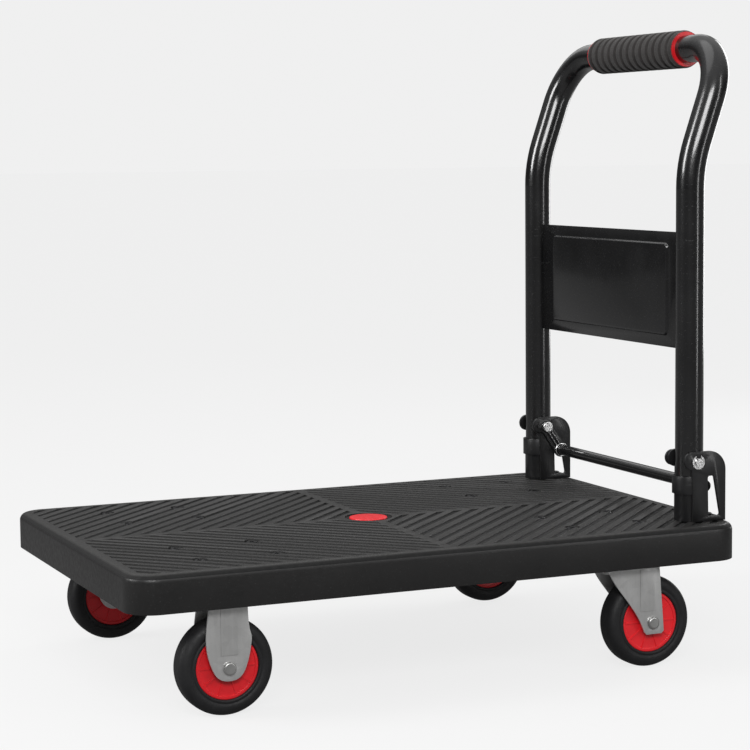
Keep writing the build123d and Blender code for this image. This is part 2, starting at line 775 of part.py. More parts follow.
def make_grip():
    """A foam sleeve with a red ring let into each end."""
    ring_middle = (grip_length - grip_ring_width) / 2
    grooved_length = grip_length - 4 * grip_ring_width
    pitch = grooved_length / grip_groove_count
    with BuildPart() as foam_grip:
        with BuildSketch(crossbar_plane(0)):
            Circle(grip_diameter / 2)
        extrude(amount=grip_length / 2, both=True)
        chamfer(foam_grip.edges().filter_by(GeomType.CIRCLE), length=grip_end_chamfer)
        with BuildSketch(crossbar_plane(0)):
            Circle(tube_radius)
        extrude(amount=grip_length / 2, both=True, mode=Mode.SUBTRACT)
        for index in range(grip_groove_count + 1):
            y = index * pitch - grooved_length / 2
            with BuildSketch(crossbar_plane(y)):
                Circle(grip_diameter / 2 + grip_groove_depth)
                Circle(grip_diameter / 2 - grip_groove_depth, mode=Mode.SUBTRACT)
            extrude(amount=grip_groove_width / 2, both=True, mode=Mode.SUBTRACT)
        for side in (-1, 1):
            with BuildSketch(crossbar_plane(side * ring_middle)):
                Circle(grip_ring_diameter / 2)
            extrude(amount=grip_ring_width / 2, both=True, mode=Mode.SUBTRACT)
    save(foam_grip.part, "foam_grip")
    for side_name, side in (("left", -1), ("right", 1)):
        with BuildPart() as ring:
            with BuildSketch(crossbar_plane(side * ring_middle)):
                Circle(grip_ring_diameter / 2)
                Circle(tube_radius, mode=Mode.SUBTRACT)
            extrude(amount=grip_ring_width / 2, both=True)
        save(ring.part, f"grip_ring_{side_name}")


def make_panel():
    height = panel_top_z - panel_bottom_z
    middle_z = (panel_top_z + panel_bottom_z) / 2
    inner = upright_y - tube_radius
    emboss_width = 2 * (inner - panel_emboss_margin_y)
    emboss_height = height - 2 * panel_emboss_margin_z
    front = Plane(origin=(upright_x - panel_thickness / 2, 0, middle_z), x_dir=(0, -1, 0), z_dir=(-1, 0, 0))
    back = Plane(origin=(upright_x + panel_thickness / 2, 0, middle_z), x_dir=(0, -1, 0), z_dir=(-1, 0, 0))
    with BuildPart() as back_panel:
        with BuildSketch(back):
            Rectangle(2 * upright_y - tube_radius, height)
        extrude(amount=panel_thickness)
        with BuildSketch(front):
            RectangleRounded(emboss_width, emboss_height, panel_emboss_corner)
        extrude(amount=panel_emboss_depth, taper=panel_emboss_slope)
        with BuildSketch(back):
            RectangleRounded(emboss_width, emboss_height, panel_emboss_corner)
        extrude(amount=panel_emboss_depth, taper=panel_emboss_slope, mode=Mode.SUBTRACT)
        for side in (-1, 1):
            with BuildSketch(Plane.XY.offset(panel_bottom_z)):
                with Locations((upright_x, side * upright_y)):
                    Circle(tube_radius)
            extrude(amount=height, mode=Mode.SUBTRACT)
    save(back_panel.part, "back_panel")


# ================================================================ hinge brackets
def short_cheek():
    """The rounded ear at the top of a cheek, and the part round the pivot pin."""
    ear_x = upright_x - ear_offset_x
    ear_z = pivot_z + ear_offset_z
    rear_x = upright_x + short_cheek_reach
    lower_z = collar_top_z - collar_height / 2
    top_z = ear_z + ear_radius
    with BuildSketch() as cheek:
        with BuildLine():
            Polyline(
                (ear_x, lower_z),
                (rear_x, lower_z),
                (rear_x, top_z - ear_radius),
                (rear_x - ear_radius, top_z),
                (ear_x, top_z),
                close=True,
            )
        make_face()
        with Locations((ear_x, ear_z)):
            Circle(ear_radius)
    return cheek.sketch


def wing_cheek():
    """The cheek with the tall wing, which has a slot that widens towards the deck."""
    top_z = pivot_z + wing_top_above_pin
    left_x = upright_x - slot_edge_offset / 2
    corner_x = wing_back_x - wing_corner_radius
    corner_z = top_z - wing_corner_radius
    slot_bottom_z = deck_top_z + slot_bottom_lift
    slot_top_z = slot_bottom_z + slot_height
    slot_x = upright_x + slot_edge_offset
    with BuildSketch() as slot:
        with BuildLine():
            Polyline(
                (slot_x, slot_top_z),
                (slot_x + slot_top_width, slot_top_z),
                (slot_x + slot_bottom_width, slot_bottom_z),
                (slot_x + slot_edge_slant, slot_bottom_z),
                close=True,
            )
        make_face()
        fillet(slot.vertices(), radius=slot_corner_radius)
    with BuildSketch() as wing:
        with BuildLine():
            Polyline((corner_x, top_z), (left_x, top_z), (left_x, deck_top_z), (wing_back_x, deck_top_z))
            Line((wing_back_x, deck_top_z), (wing_back_x, corner_z))
            CenterArc((corner_x, corner_z), wing_corner_radius, 0, 90)
        make_face()
        add(short_cheek())
        add(slot.sketch, mode=Mode.SUBTRACT)
    return wing.sketch


def make_bracket(y, name):
    neck_z = collar_top_z - collar_height
    collar_inner = tube_radius + collar_gap
    collar_outer = collar_inner + bracket_sheet
    lower_outer = collar_outer - collar_step
    with BuildPart() as bracket:
        with BuildSketch(Plane.XY.offset(deck_top_z)):
            with Locations((upright_x, y)):
                Circle(lower_outer)
            with Locations(((upright_x + wing_back_x) / 2, y)):
                Rectangle(wing_back_x - upright_x, 2 * cheek_outer)
        extrude(amount=bracket_base_thickness)
        with BuildSketch(Plane.XY.offset(deck_top_z)):
            with Locations((upright_x, y)):
                Circle(lower_outer)
                Circle(lower_outer - bracket_sheet, mode=Mode.SUBTRACT)
                with Locations((collar_outer, 0)):
                    Rectangle(2 * collar_outer, 2 * collar_outer, mode=Mode.SUBTRACT)
        extrude(amount=neck_z - deck_top_z + bracket_sheet / 2)
        with BuildSketch(Plane.XY.offset(neck_z)):
            with Locations((upright_x, y)):
                Circle(collar_outer)
                Circle(lower_outer - bracket_sheet, mode=Mode.SUBTRACT)
                with Locations((collar_outer, 0)):
                    Rectangle(2 * collar_outer, 2 * collar_outer, mode=Mode.SUBTRACT)
        extrude(amount=bracket_sheet)
        with BuildSketch(Plane.XY.offset(neck_z)):
            with Locations((upright_x, y)):
                Circle(collar_outer)
                Circle(collar_inner, mode=Mode.SUBTRACT)
                with Locations((collar_outer, 0)):
                    Rectangle(2 * collar_outer, 2 * collar_outer, mode=Mode.SUBTRACT)
        extrude(amount=collar_height)
        with BuildSketch(facing_minus_y(y - cheek_inner)):
            add(wing_cheek())
        extrude(amount=bracket_sheet)
        with BuildSketch(facing_minus_y(y + cheek_outer)):
            add(short_cheek())
        extrude(amount=bracket_sheet)
        with BuildSketch(facing_minus_y(y)):
            with Locations((upright_x, pivot_z)):
                Circle(pin_diameter / 2 + running_clearance / 2)
        extrude(amount=2 * cheek_outer, both=True, mode=Mode.SUBTRACT)
        with Locations(*[Location((upright_x + offset, y, deck_top_z)) for offset in bracket_bolt_offsets]):
            Hole(radius=bracket_bolt_diameter / 2 + hole_clearance, depth=4 * bracket_base_thickness)
    save(bracket.part, name)


def make_bracket_fasteners():
    head_bottom = deck_top_z + bracket_base_thickness
    nut_height = bracket_bolt_diameter * nut_height_ratio
    length = head_bottom - deck_inside_z + nut_height + bracket_bolt_diameter * bolt_tail_ratio
    bolt = pan_bolt(bracket_bolt_diameter, bracket_bolt_head_diameter, bracket_bolt_head_height, length)
    nut = hex_nut(bracket_bolt_diameter)
    with BuildPart() as bracket_bolts:
        with Locations(*at_height(bracket_bolt_points(), head_bottom)):
            add(bolt)
    save(bracket_bolts.part, "bracket_bolts")
    with BuildPart() as bracket_nuts:
        with Locations(*at_height(bracket_bolt_points(), deck_inside_z - nut_height)):
            add(nut)
    save(bracket_nuts.part, "bracket_nuts")


def across_pin(y, facing):
    """A plane across the pivot pins, facing +Y or -Y."""
    return Plane(origin=(upright_x, y, pivot_z), x_dir=(1, 0, 0), z_dir=(0, facing, 0))


def make_pivot_pin(y, inward, name):
    """The pin's head is on the cart's inner side and its clipped tail is outside."""
    head = across_pin(y + inward * pin_head_face, inward)
    with BuildPart() as pivot_pin:
        with BuildSketch(head):
            Circle(pin_head_diameter / 2)
        extrude(amount=pin_head_height)
        outer_face = pivot_pin.faces().sort_by(Axis.Y)[-1 if inward > 0 else 0]
        fillet(outer_face.edges(), radius=pin_head_round)
        with BuildSketch(head):
            Circle(pin_diameter / 2)
        extrude(amount=-(pin_head_face + pin_tail))
        groove = across_pin(y - inward * clip_face, -inward)
        with BuildSketch(groove):
            Circle(pin_diameter)
            Circle(pin_diameter / 2 - pin_groove_depth, mode=Mode.SUBTRACT)
        extrude(amount=clip_thickness, mode=Mode.SUBTRACT)
    save(pivot_pin.part, name)


def pin_clip(y, inward):
    groove = across_pin(y - inward * clip_face, -inward)
    mouth = pin_diameter * clip_mouth_ratio
    with BuildPart() as clip:
        with BuildSketch(groove):
            Circle(clip_diameter / 2)
            Circle(pin_diameter / 2 - pin_groove_depth, mode=Mode.SUBTRACT)
            with Locations((0, clip_diameter / 2)):
                Rectangle(mouth, clip_diameter, mode=Mode.SUBTRACT)
        extrude(amount=clip_thickness)
    return clip.part


def make_release_lever(y, inward, name):
    start = y + inward * lever_face
    plane = Plane(origin=(upright_x, start, pivot_z), x_dir=(1, 0, 0), z_dir=(0, -1, 0))
    with BuildPart() as release_lever:
        with BuildSketch(plane):
            Circle(lever_eye_radius)
            with Locations((bar_offset_x, bar_offset_z)):
                Circle(lever_eye_radius)
            with Locations((bar_offset_x / 2, bar_offset_z / 2)):
                Rectangle(bar_arm, lever_width, rotation=bar_angle)
            with Locations((lever_ear_offset_x, lever_ear_offset_z)):
                Circle(lever_ear_radius)
            Circle(pin_diameter / 2 + running_clearance / 2, mode=Mode.SUBTRACT)
            with Locations((bar_offset_x, bar_offset_z)):
                Circle(bar_diameter / 2, mode=Mode.SUBTRACT)
        extrude(amount=-inward * lever_thickness)
    save(release_lever.part, name)


def make_return_spring(y, inward, name):
    """One bright wire: a turn round the pivot pin, two legs, and a turn round the foot bar."""
    middle = y + inward * spring_plane_offset
    coil_radius = pin_diameter / 2 + running_clearance + spring_wire / 2
    bar_loop_radius = bar_diameter / 2 + spring_wire / 2
    half = spring_leg_spacing / 2
    start = sqrt(coil_radius**2 - half**2)
    end = bar_arm - sqrt(bar_loop_radius**2 - half**2)
    legs = Plane(origin=(upright_x, middle, pivot_z), x_dir=(0, 1, 0), z_dir=(bar_offset_x, 0, bar_offset_z))
    with BuildPart() as spring:
        with Locations((upright_x, middle, pivot_z)):
            Torus(coil_radius, spring_wire / 2, rotation=(90, 0, 0))
        with Locations((bar_x, middle, bar_z)):
            Torus(bar_loop_radius, spring_wire / 2, rotation=(90, 0, 0))
        with BuildSketch(legs.offset(start)):
            with Locations((0, -half), (0, half)):
                Circle(spring_leg_diameter / 2)
        extrude(amount=end - start)
    save(spring.part, name)


def make_foot_bar():
    near_end_y = -(upright_y + bar_overrun)
    with BuildPart() as foot_bar:
        with BuildSketch(Plane(origin=(bar_x, near_end_y, bar_z), x_dir=(1, 0, 0), z_dir=(0, 1, 0))):
            Circle(bar_diameter / 2)
        extrude(amount=upright_y - lever_face - near_end_y)
        fillet(foot_bar.edges().filter_by(GeomType.CIRCLE), radius=bar_end_round)
    save(foot_bar.part, "foot_bar")


def make_hinges():
    clips = []
    with BuildPart() as lever_rivets:
        for side in (-1, 1):
            face_y = side * (upright_y - lever_face - lever_thickness)
            ear = (upright_x + lever_ear_offset_x, face_y, pivot_z + lever_ear_offset_z)
            with BuildSketch(Plane(origin=ear, x_dir=(1, 0, 0), z_dir=(0, -side, 0))):
                Circle(rivet_diameter / 2)
            extrude(amount=rivet_height)
    save(lever_rivets.part, "lever_rivets")
    for side_name, side in (("left", -1), ("right", 1)):
        y = side * upright_y
        inward = -side
        make_bracket(y, f"hinge_bracket_{side_name}")
        make_pivot_pin(y, inward, f"pivot_pin_{side_name}")
        make_release_lever(y, inward, f"release_lever_{side_name}")
        make_return_spring(y, inward, f"return_spring_{side_name}")
        clips.append(pin_clip(y, inward))
    with BuildPart() as pin_clips:
        for clip in clips:
            add(clip)
    save(pin_clips.part, "pin_clips")
    make_foot_bar()
    make_bracket_fasteners()


make_deck()
make_centre_disc()
make_deck_fasteners()
make_mount_plates()
make_caster_fasteners()
make_casters()
make_handle_tube()
make_end_caps()
make_grip()
make_panel()
make_hinges()
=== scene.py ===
"""Looks of a folding platform cart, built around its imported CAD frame. Metres, +Z up."""

import json
from math import cos, pi, radians, sin

import bmesh
import bpy
from bpy.props import FloatProperty, FloatVectorProperty, IntProperty, PointerProperty
from mathutils import Matrix, Vector

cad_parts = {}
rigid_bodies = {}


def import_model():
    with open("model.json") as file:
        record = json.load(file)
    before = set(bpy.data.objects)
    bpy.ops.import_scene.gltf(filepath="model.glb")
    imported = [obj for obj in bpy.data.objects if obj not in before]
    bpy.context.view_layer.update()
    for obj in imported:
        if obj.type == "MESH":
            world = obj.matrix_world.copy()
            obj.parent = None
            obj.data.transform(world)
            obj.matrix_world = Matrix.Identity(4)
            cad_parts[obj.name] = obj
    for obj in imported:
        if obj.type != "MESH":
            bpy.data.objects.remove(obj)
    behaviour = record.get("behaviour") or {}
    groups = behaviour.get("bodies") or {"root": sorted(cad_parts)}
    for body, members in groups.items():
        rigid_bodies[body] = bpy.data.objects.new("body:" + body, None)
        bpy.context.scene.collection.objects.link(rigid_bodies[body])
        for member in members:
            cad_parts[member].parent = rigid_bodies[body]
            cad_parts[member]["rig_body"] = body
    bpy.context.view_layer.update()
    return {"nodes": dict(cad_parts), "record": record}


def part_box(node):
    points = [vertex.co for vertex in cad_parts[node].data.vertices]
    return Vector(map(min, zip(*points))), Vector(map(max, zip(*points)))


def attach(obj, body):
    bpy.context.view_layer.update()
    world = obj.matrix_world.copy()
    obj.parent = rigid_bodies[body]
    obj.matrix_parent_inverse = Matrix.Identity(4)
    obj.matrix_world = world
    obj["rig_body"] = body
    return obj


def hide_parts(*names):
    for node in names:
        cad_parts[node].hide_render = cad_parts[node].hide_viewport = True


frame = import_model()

bl_info = {
    "name": "Folding platform cart",
    "version": (1, 0, 0),
    "blender": (4, 5, 0),
    "location": "View3D > Sidebar > Cart",
    "description": "Builds the finished pieces, materials and studio of a folding platform cart",
    "category": "Object",
}

CORNERS = ("front_left", "front_right", "rear_left", "rear_right")


# ---------------------------------------------------------------- settings
def length(name, description, default, least=0.0):
    text = {"name": name, "description": description}
    return FloatProperty(**text, default=default, min=least, unit="LENGTH", precision=4)


def colour(name, description, default):
    text = {"name": name, "description": description}
    return FloatVectorProperty(**text, default=default, subtype="COLOR", min=0, max=1)


def share(name, description, default):
    return FloatProperty(name=name, description=description, default=default, min=0, max=1, subtype="FACTOR")


def turned(name, description, degrees):
    return FloatProperty(name=name, description=description, default=radians(degrees), subtype="ANGLE")


def brightness(name, description, default):
    return FloatProperty(name=name, description=description, default=default, min=0)


class CartEdgeSettings(bpy.types.PropertyGroup):
    moulded: length("Moulded edge", "Rounding of the plastic deck's ridges and ribs", 0.0011)
    pressed: length("Pressed edge", "Rounding of the edges of pressed and cut sheet metal", 0.0005)
    machined: length("Machined edge", "Rounding of pins, bolts and nuts", 0.0003)


class CartGripSettings(bpy.types.PropertyGroup):
    rings: IntProperty(name="Rings", description="How many raised rings the foam grip has", default=12, min=2)
    groove_depth: length("Groove depth", "How deep the grooves between the rings are", 0.0026)
    groove_share: share("Groove share", "Share of the pitch that a groove takes", 0.30)
    end_length: length("Plain end", "Length of the plain sleeve past the last groove", 0.010)
    chamfer: length("End chamfer", "Rounding of the sleeve's ends", 0.0018)


class CartWheelSettings(bpy.types.PropertyGroup):
    spokes: IntProperty(name="Spokes", description="Radial ribs on each face of a hub", default=10, min=3)
    spoke_thickness: length("Spoke thickness", "Thickness of one rib", 0.0016)
    rim_width: length("Rim width", "Width of the flat ring round the hub's face", 0.0035)
    web_width: length("Web width", "Thickness of the hub's disc", 0.024)
    spoke_width: length("Spoke width", "Thickness of the hub across its ribs", 0.0256)
    boss_diameter: length("Boss diameter", "Diameter of the hub's middle", 0.024)
    tyre_shoulder: length("Tyre shoulder", "Radius between the tread and the side of a tyre", 0.0095)
    tyre_crown: length("Tyre crown", "How much the tread falls from its middle to its edges", 0.0005)


class CartBoltSettings(bpy.types.PropertyGroup):
    pattern_x: length("Pattern length", "Distance along the deck between two bolts of one pattern", 0.087)
    pattern_y: length("Pattern width", "Distance across the deck between two bolts of one pattern", 0.078)
    head_diameter: length("Head diameter", "Diameter of a deck bolt's head", 0.013)
    head_height: length("Head height", "Height of a deck bolt's head", 0.0028)
    shank_diameter: length("Shank diameter", "Diameter of a deck bolt's shank", 0.008)
    socket_diameter: length("Socket diameter", "Size of the hexagon socket in the head", 0.0055)


class CartColours(bpy.types.PropertyGroup):
    deck: colour("Deck", "Black moulded plastic", (0.011, 0.0106, 0.0106))
    red: colour("Red plastic", "Hubs, grip rings and the deck's disc", (0.80, 0.014, 0.022))
    tyre: colour("Tyre", "Solid black rubber", (0.009, 0.009, 0.010))
    paint: colour("Paint", "Black gloss paint on the handle", (0.004, 0.004, 0.0043))
    coating: colour("Coating", "Black powder coat on brackets and levers", (0.008, 0.008, 0.0085))
    foam: colour("Foam", "Dark closed-cell foam", (0.034, 0.031, 0.030))
    galvanised: colour("Galvanised", "Pressed steel of the forks", (0.60, 0.60, 0.595))
    zinc: colour("Zinc", "Plated fasteners", (0.58, 0.58, 0.57))
    bright: colour("Bright steel", "Pins, clips and spring wire", (0.76, 0.76, 0.76))
    floor: colour("Floor", "Plain pale studio floor", (0.10, 0.10, 0.10))


class CartStageSettings(bpy.types.PropertyGroup):
    azimuth: turned("Azimuth", "Camera direction round the cart", -23.44)
    elevation: turned("Elevation", "Camera height over the horizon", 5.83)
    roll: turned("Roll", "Camera roll", -0.57)
    distance: length("Distance", "From the camera to the point it looks at", 2.552)
    target_x: length("Target X", "Point looked at, along the deck", -0.0036, least=-1.0)
    target_z: length("Target height", "Height of the point looked at", 0.323)
    lens: FloatProperty(name="Lens", description="Focal length in millimetres", default=105.9, min=10)
    backdrop: brightness("Backdrop", "Brightness of the backdrop", 0.87)
    room_light: brightness("Room light", "Brightness of the room round the cart", 0.05)
    ceiling: brightness("Ceiling", "Brightness of the room over the cart", 0.60)
    overhead: brightness("Overhead light", "Strength of the broad light from above", 0.5)
    floor_glow: brightness("Floor glow", "Light that the floor itself adds to the picture", 0.80)
    floor_bounce: brightness("Floor bounce", "Light that the floor throws up at the cart", 0.12)


SETTINGS = {
    "cart_edges": CartEdgeSettings,
    "cart_grip": CartGripSettings,
    "cart_wheels": CartWheelSettings,
    "cart_bolts": CartBoltSettings,
    "cart_colours": CartColours,
    "cart_stage": CartStageSettings,
}


# ---------------------------------------------------------------- node helpers
def place(tree, kind, inputs=None, **options):
    """Adds a node. inputs maps an input's name or index to a number, a colour or another node's output."""
    node = tree.nodes.new(kind)
    for option, value in options.items():
        setattr(node, option, value)
    for key, value in (inputs or {}).items():
        socket = node.inputs[key]
        if isinstance(value, bpy.types.NodeSocket):
            tree.links.new(value, socket)
        else:
            socket.default_value = value
    return node


def maths(tree, operation, *values):
    return place(tree, "ShaderNodeMath", dict(enumerate(values)), operation=operation).outputs[0]


def scaled_sum(tree, base, extra, factor):
    """base + extra * factor"""
    return maths(tree, "ADD", base, maths(tree, "MULTIPLY", extra, factor))


def vector(tree, operation, first, second):
    """A vector node's output; second is a vector, or the number to scale by."""
    inputs = {0: first, "Scale" if operation == "SCALE" else 1: second}
    return place(tree, "ShaderNodeVectorMath", inputs, operation=operation).outputs[0]


def blended(tree, factor, first, second):
    """A colour that goes from the first to the second as factor goes from 0 to 1."""
    node = place(tree, "ShaderNodeMix", data_type="RGBA")
    for index, value in ((0, factor), (6, first), (7, second)):
        if isinstance(value, bpy.types.NodeSocket):
            tree.links.new(value, node.inputs[index])
        elif index == 0:
            node.inputs[index].default_value = value
        else:
            node.inputs[index].default_value = (*value[:3], 1)
    return node.outputs[2]


def ranged(tree, value, low, high, new_low, new_high):
    inputs = {0: value, 1: low, 2: high, 3: new_low, 4: new_high}
    return place(tree, "ShaderNodeMapRange", inputs, clamp=True).outputs[0]


def new_group(name, kind, inputs, outputs):
    """A node group with float or vector sockets; a default that is None makes a geometry socket."""
    group = bpy.data.node_groups.new(name, kind)
    for socket_name, socket_type, default in inputs:
        socket = group.interface.new_socket(socket_name, in_out="INPUT", socket_type=socket_type)
        if default is not None:
            socket.default_value = default
    for socket_name, socket_type in outputs:
        group.interface.new_socket(socket_name, in_out="OUTPUT", socket_type=socket_type)
    return group, group.nodes.new("NodeGroupInput"), group.nodes.new("NodeGroupOutput")


# ---------------------------------------------------------------- shared surface effects
def grain_group():
    """Fine moulded or sprayed grain: a height and a value that both vary from 0 to 1."""
    group, given, made = new_group(
        "Surface grain",
        "ShaderNodeTree",
        [("Size", "NodeSocketFloat", 0.001), ("Stretch", "NodeSocketVector", (1, 1, 1))],
        [("Height", "NodeSocketFloat"), ("Value", "NodeSocketFloat")],
    )
    place_on = place(group, "ShaderNodeTexCoord").outputs["Object"]
    point = vector(group, "MULTIPLY", place_on, given.outputs["Stretch"])
    scale = maths(group, "DIVIDE", 1.0, given.outputs["Size"])
    inputs = {"Vector": point, "Scale": scale, "Detail": 4.0, "Roughness": 0.6}
    fine = place(group, "ShaderNodeTexNoise", inputs)
    coarse_scale = maths(group, "MULTIPLY", scale, 0.23)
    coarse = place(group, "ShaderNodeTexNoise", {"Vector": point, "Scale": coarse_scale, "Detail": 2.0})
    height = scaled_sum(group, maths(group, "MULTIPLY", fine.outputs[0], 0.7), coarse.outputs[0], 0.3)
    group.links.new(height, made.inputs["Height"])
    group.links.new(ranged(group, coarse.outputs[0], 0.3, 0.7, 0.0, 1.0), made.inputs["Value"])
    return group


def wear_group():
    """Handling marks: broad blotches, fine scratches and dust that settles on faces that look up."""
    group, given, made = new_group(
        "Handling wear",
        "ShaderNodeTree",
        [
            ("Patch Size", "NodeSocketFloat", 0.08),
            ("Scratch Length", "NodeSocketFloat", 0.03),
            ("Dust", "NodeSocketFloat", 0.5),
        ],
        [("Blotch", "NodeSocketFloat"), ("Scratch", "NodeSocketFloat"), ("Dust", "NodeSocketFloat")],
    )
    point = place(group, "ShaderNodeTexCoord").outputs["Object"]
    patch_scale = maths(group, "DIVIDE", 1.0, given.outputs["Patch Size"])
    inputs = {"Vector": point, "Scale": patch_scale, "Detail": 5.0, "Roughness": 0.65}
    blotch = place(group, "ShaderNodeTexNoise", inputs)
    group.links.new(ranged(group, blotch.outputs[0], 0.35, 0.68, 0.0, 1.0), made.inputs["Blotch"])

    scratch_scale = maths(group, "DIVIDE", 1.0, given.outputs["Scratch Length"])
    bent = place(group, "ShaderNodeVectorRotate", {"Vector": point, "Angle": 0.6}, rotation_type="Z_AXIS")
    thin = vector(group, "MULTIPLY", bent.outputs[0], (1.0, 34.0, 14.0))
    inputs = {"Vector": thin, "Scale": scratch_scale, "Detail": 2.0, "Distortion": 0.4}
    lines = place(group, "ShaderNodeTexNoise", inputs)
    group.links.new(ranged(group, lines.outputs[0], 0.66, 0.72, 0.0, 1.0), made.inputs["Scratch"])

    normal = place(group, "ShaderNodeNewGeometry").outputs["Normal"]
    up = place(group, "ShaderNodeSeparateXYZ", {0: normal}).outputs[2]
    facing = ranged(group, up, 0.55, 1.0, 0.0, 1.0)
    specks = place(group, "ShaderNodeTexNoise", {"Vector": point, "Scale": 900.0, "Detail": 3.0})
    speckled = ranged(group, specks.outputs[0], 0.45, 0.75, 0.25, 1.0)
    settled = maths(group, "MULTIPLY", maths(group, "MULTIPLY", facing, speckled), given.outputs["Dust"])
    group.links.new(settled, made.inputs["Dust"])
    return group


def cells_group():
    """Cells that differ in tone and meet in fine lines: zinc spangle when wide, foam pores when small."""
    group, given, made = new_group(
        "Cells",
        "ShaderNodeTree",
        [("Cell Size", "NodeSocketFloat", 0.01)],
        [("Tone", "NodeSocketFloat"), ("Pit", "NodeSocketFloat")],
    )
    point = place(group, "ShaderNodeTexCoord").outputs["Object"]
    warp = place(group, "ShaderNodeTexNoise", {"Vector": point, "Scale": 160.0, "Detail": 2.0})
    moved = vector(group, "ADD", point, vector(group, "SCALE", warp.outputs[1], 0.002))
    scale = maths(group, "DIVIDE", 1.0, given.outputs["Cell Size"])
    cells = place(group, "ShaderNodeTexVoronoi", {"Vector": moved, "Scale": scale})
    tone = place(group, "ShaderNodeSeparateXYZ", {0: cells.outputs["Color"]}).outputs[0]
    group.links.new(tone, made.inputs["Tone"])
    group.links.new(ranged(group, cells.outputs["Distance"], 0.0, 0.55, 0.0, 1.0), made.inputs["Pit"])
    return group


# Painted shade reaches from the grooves' floor down by this much, so the bolt recesses get it too.
RECESS_REACH = 0.003  # how far under the grooves' floor a surface still counts as a recess


def recess_group():
    """How open a level surface is: 0 on the floor of its grooves, 1 on its top; the deck's painted groove
    shade and extra roughness follow it.
    """
    group, given, made = new_group(
        "Recess",
        "ShaderNodeTree",
        [("Floor Height", "NodeSocketFloat", 0.0), ("Top Height", "NodeSocketFloat", 1.0)],
        [("Open", "NodeSocketFloat")],
    )
    point = place(group, "ShaderNodeTexCoord").outputs["Object"]
    height = place(group, "ShaderNodeSeparateXYZ", {0: point}).outputs[2]
    low, high = given.outputs["Floor Height"], given.outputs["Top Height"]
    below = maths(group, "LESS_THAN", height, maths(group, "SUBTRACT", low, RECESS_REACH))
    opened = maths(group, "MAXIMUM", ranged(group, height, low, high, 0.0, 1.0), below)
    group.links.new(opened, made.inputs["Open"])
    return group


class Finish:
    """One material while it is being built: its tree, its shader and its shared effects."""

    def __init__(self, name):
        self.material = bpy.data.materials.new(name)
        self.material.use_nodes = True
        self.tree = self.material.node_tree
        self.shader = self.tree.nodes["Principled BSDF"]

    def effect(self, group_name, **inputs):
        node = self.tree.nodes.new("ShaderNodeGroup")
        node.node_tree = bpy.data.node_groups[group_name]
        for name, value in inputs.items():
            node.inputs[name.replace("_", " ")].default_value = value
        return node.outputs

    def set(self, **values):
        for name, value in values.items():
            socket = self.shader.inputs[name.replace("_", " ")]
            if isinstance(value, bpy.types.NodeSocket):
                self.tree.links.new(value, socket)
            else:
                socket.default_value = value

    def bump(self, height, distance, strength=1.0):
        inputs = {"Height": height, "Distance": distance, "Strength": strength}
        self.set(Normal=place(self.tree, "ShaderNodeBump", inputs).outputs[0])


def lighter(colour_value, factor):
    return tuple(min(1.0, part * factor) for part in colour_value)


def moulded_plastic(name, base, roughness, grain_size, grain_depth, dust, worn, grooves=None):
    """Moulded plastic; grooves gives the heights of the grooves' floor and of the ridges' top, which set
    where painted shade darkens the grooves.
    """
    finish = Finish(name)
    tree = finish.tree
    grain = finish.effect("Surface grain", Size=grain_size)
    wear = finish.effect("Handling wear", Patch_Size=0.07, Scratch_Length=0.02, Dust=dust)
    toned = blended(tree, wear["Blotch"], lighter(base, 0.82), lighter(base, 1.18))
    marked = blended(tree, maths(tree, "MULTIPLY", wear["Scratch"], 0.35), toned, worn)
    dusty = blended(tree, wear["Dust"], marked, (0.30, 0.29, 0.27))
    spread = ranged(tree, grain["Value"], 0, 1, roughness - 0.05, roughness + 0.05)
    rough = scaled_sum(tree, spread, wear["Scratch"], 0.12)
    if grooves:
        # Painted shade: the grooves' floor and the bolt recesses get 0.3 of the base colour, which ramps back
        # to full colour on the ridges' tops; these surfaces are also made rougher.
        opened = finish.effect("Recess", Floor_Height=grooves[0], Top_Height=grooves[1])["Open"]
        dusty = blended(tree, opened, lighter(base, 0.3), dusty)
        rough = maths(tree, "ADD", rough, ranged(tree, opened, 0, 1, 0.45, 0.0))
    finish.set(Base_Color=dusty, Roughness=rough, Specular_IOR_Level=0.5)
    finish.bump(grain["Height"], grain_depth)
    return finish.material


def black_rubber(name, base):
    finish = Finish(name)
    tree = finish.tree
    grain = finish.effect("Surface grain", Size=0.0009)
    wear = finish.effect("Handling wear", Patch_Size=0.025, Scratch_Length=0.012, Dust=0.10)
    toned = blended(tree, wear["Blotch"], lighter(base, 0.8), lighter(base, 1.35))
    scuffed = blended(tree, maths(tree, "MULTIPLY", wear["Scratch"], 0.3), toned, lighter(base, 3.0))
    dusty = blended(tree, wear["Dust"], scuffed, (0.22, 0.21, 0.20))
    rough = ranged(tree, grain["Value"], 0, 1, 0.5, 0.66)
    finish.set(Base_Color=dusty, Roughness=rough, Specular_IOR_Level=0.42)
    finish.bump(grain["Height"], 0.00018)
    return finish.material


def gloss_paint(name, base, roughness, orange_peel, coat):
    finish = Finish(name)
    tree = finish.tree
    grain = finish.effect("Surface grain", Size=orange_peel)
    wear = finish.effect("Handling wear", Patch_Size=0.06, Scratch_Length=0.025, Dust=0.04)
    toned = blended(tree, wear["Blotch"], base, lighter(base, 1.5))
    marked = blended(tree, maths(tree, "MULTIPLY", wear["Scratch"], 0.25), toned, (0.09, 0.09, 0.092))
    dusty = blended(tree, wear["Dust"], marked, (0.25, 0.25, 0.24))
    spread = ranged(tree, wear["Blotch"], 0, 1, roughness - 0.03, roughness + 0.06)
    finish.set(Base_Color=dusty, Roughness=scaled_sum(tree, spread, wear["Scratch"], 0.15))
    finish.set(Coat_Weight=coat, Coat_Roughness=0.12, Specular_IOR_Level=0.5)
    finish.bump(grain["Height"], orange_peel * 0.035)
    return finish.material


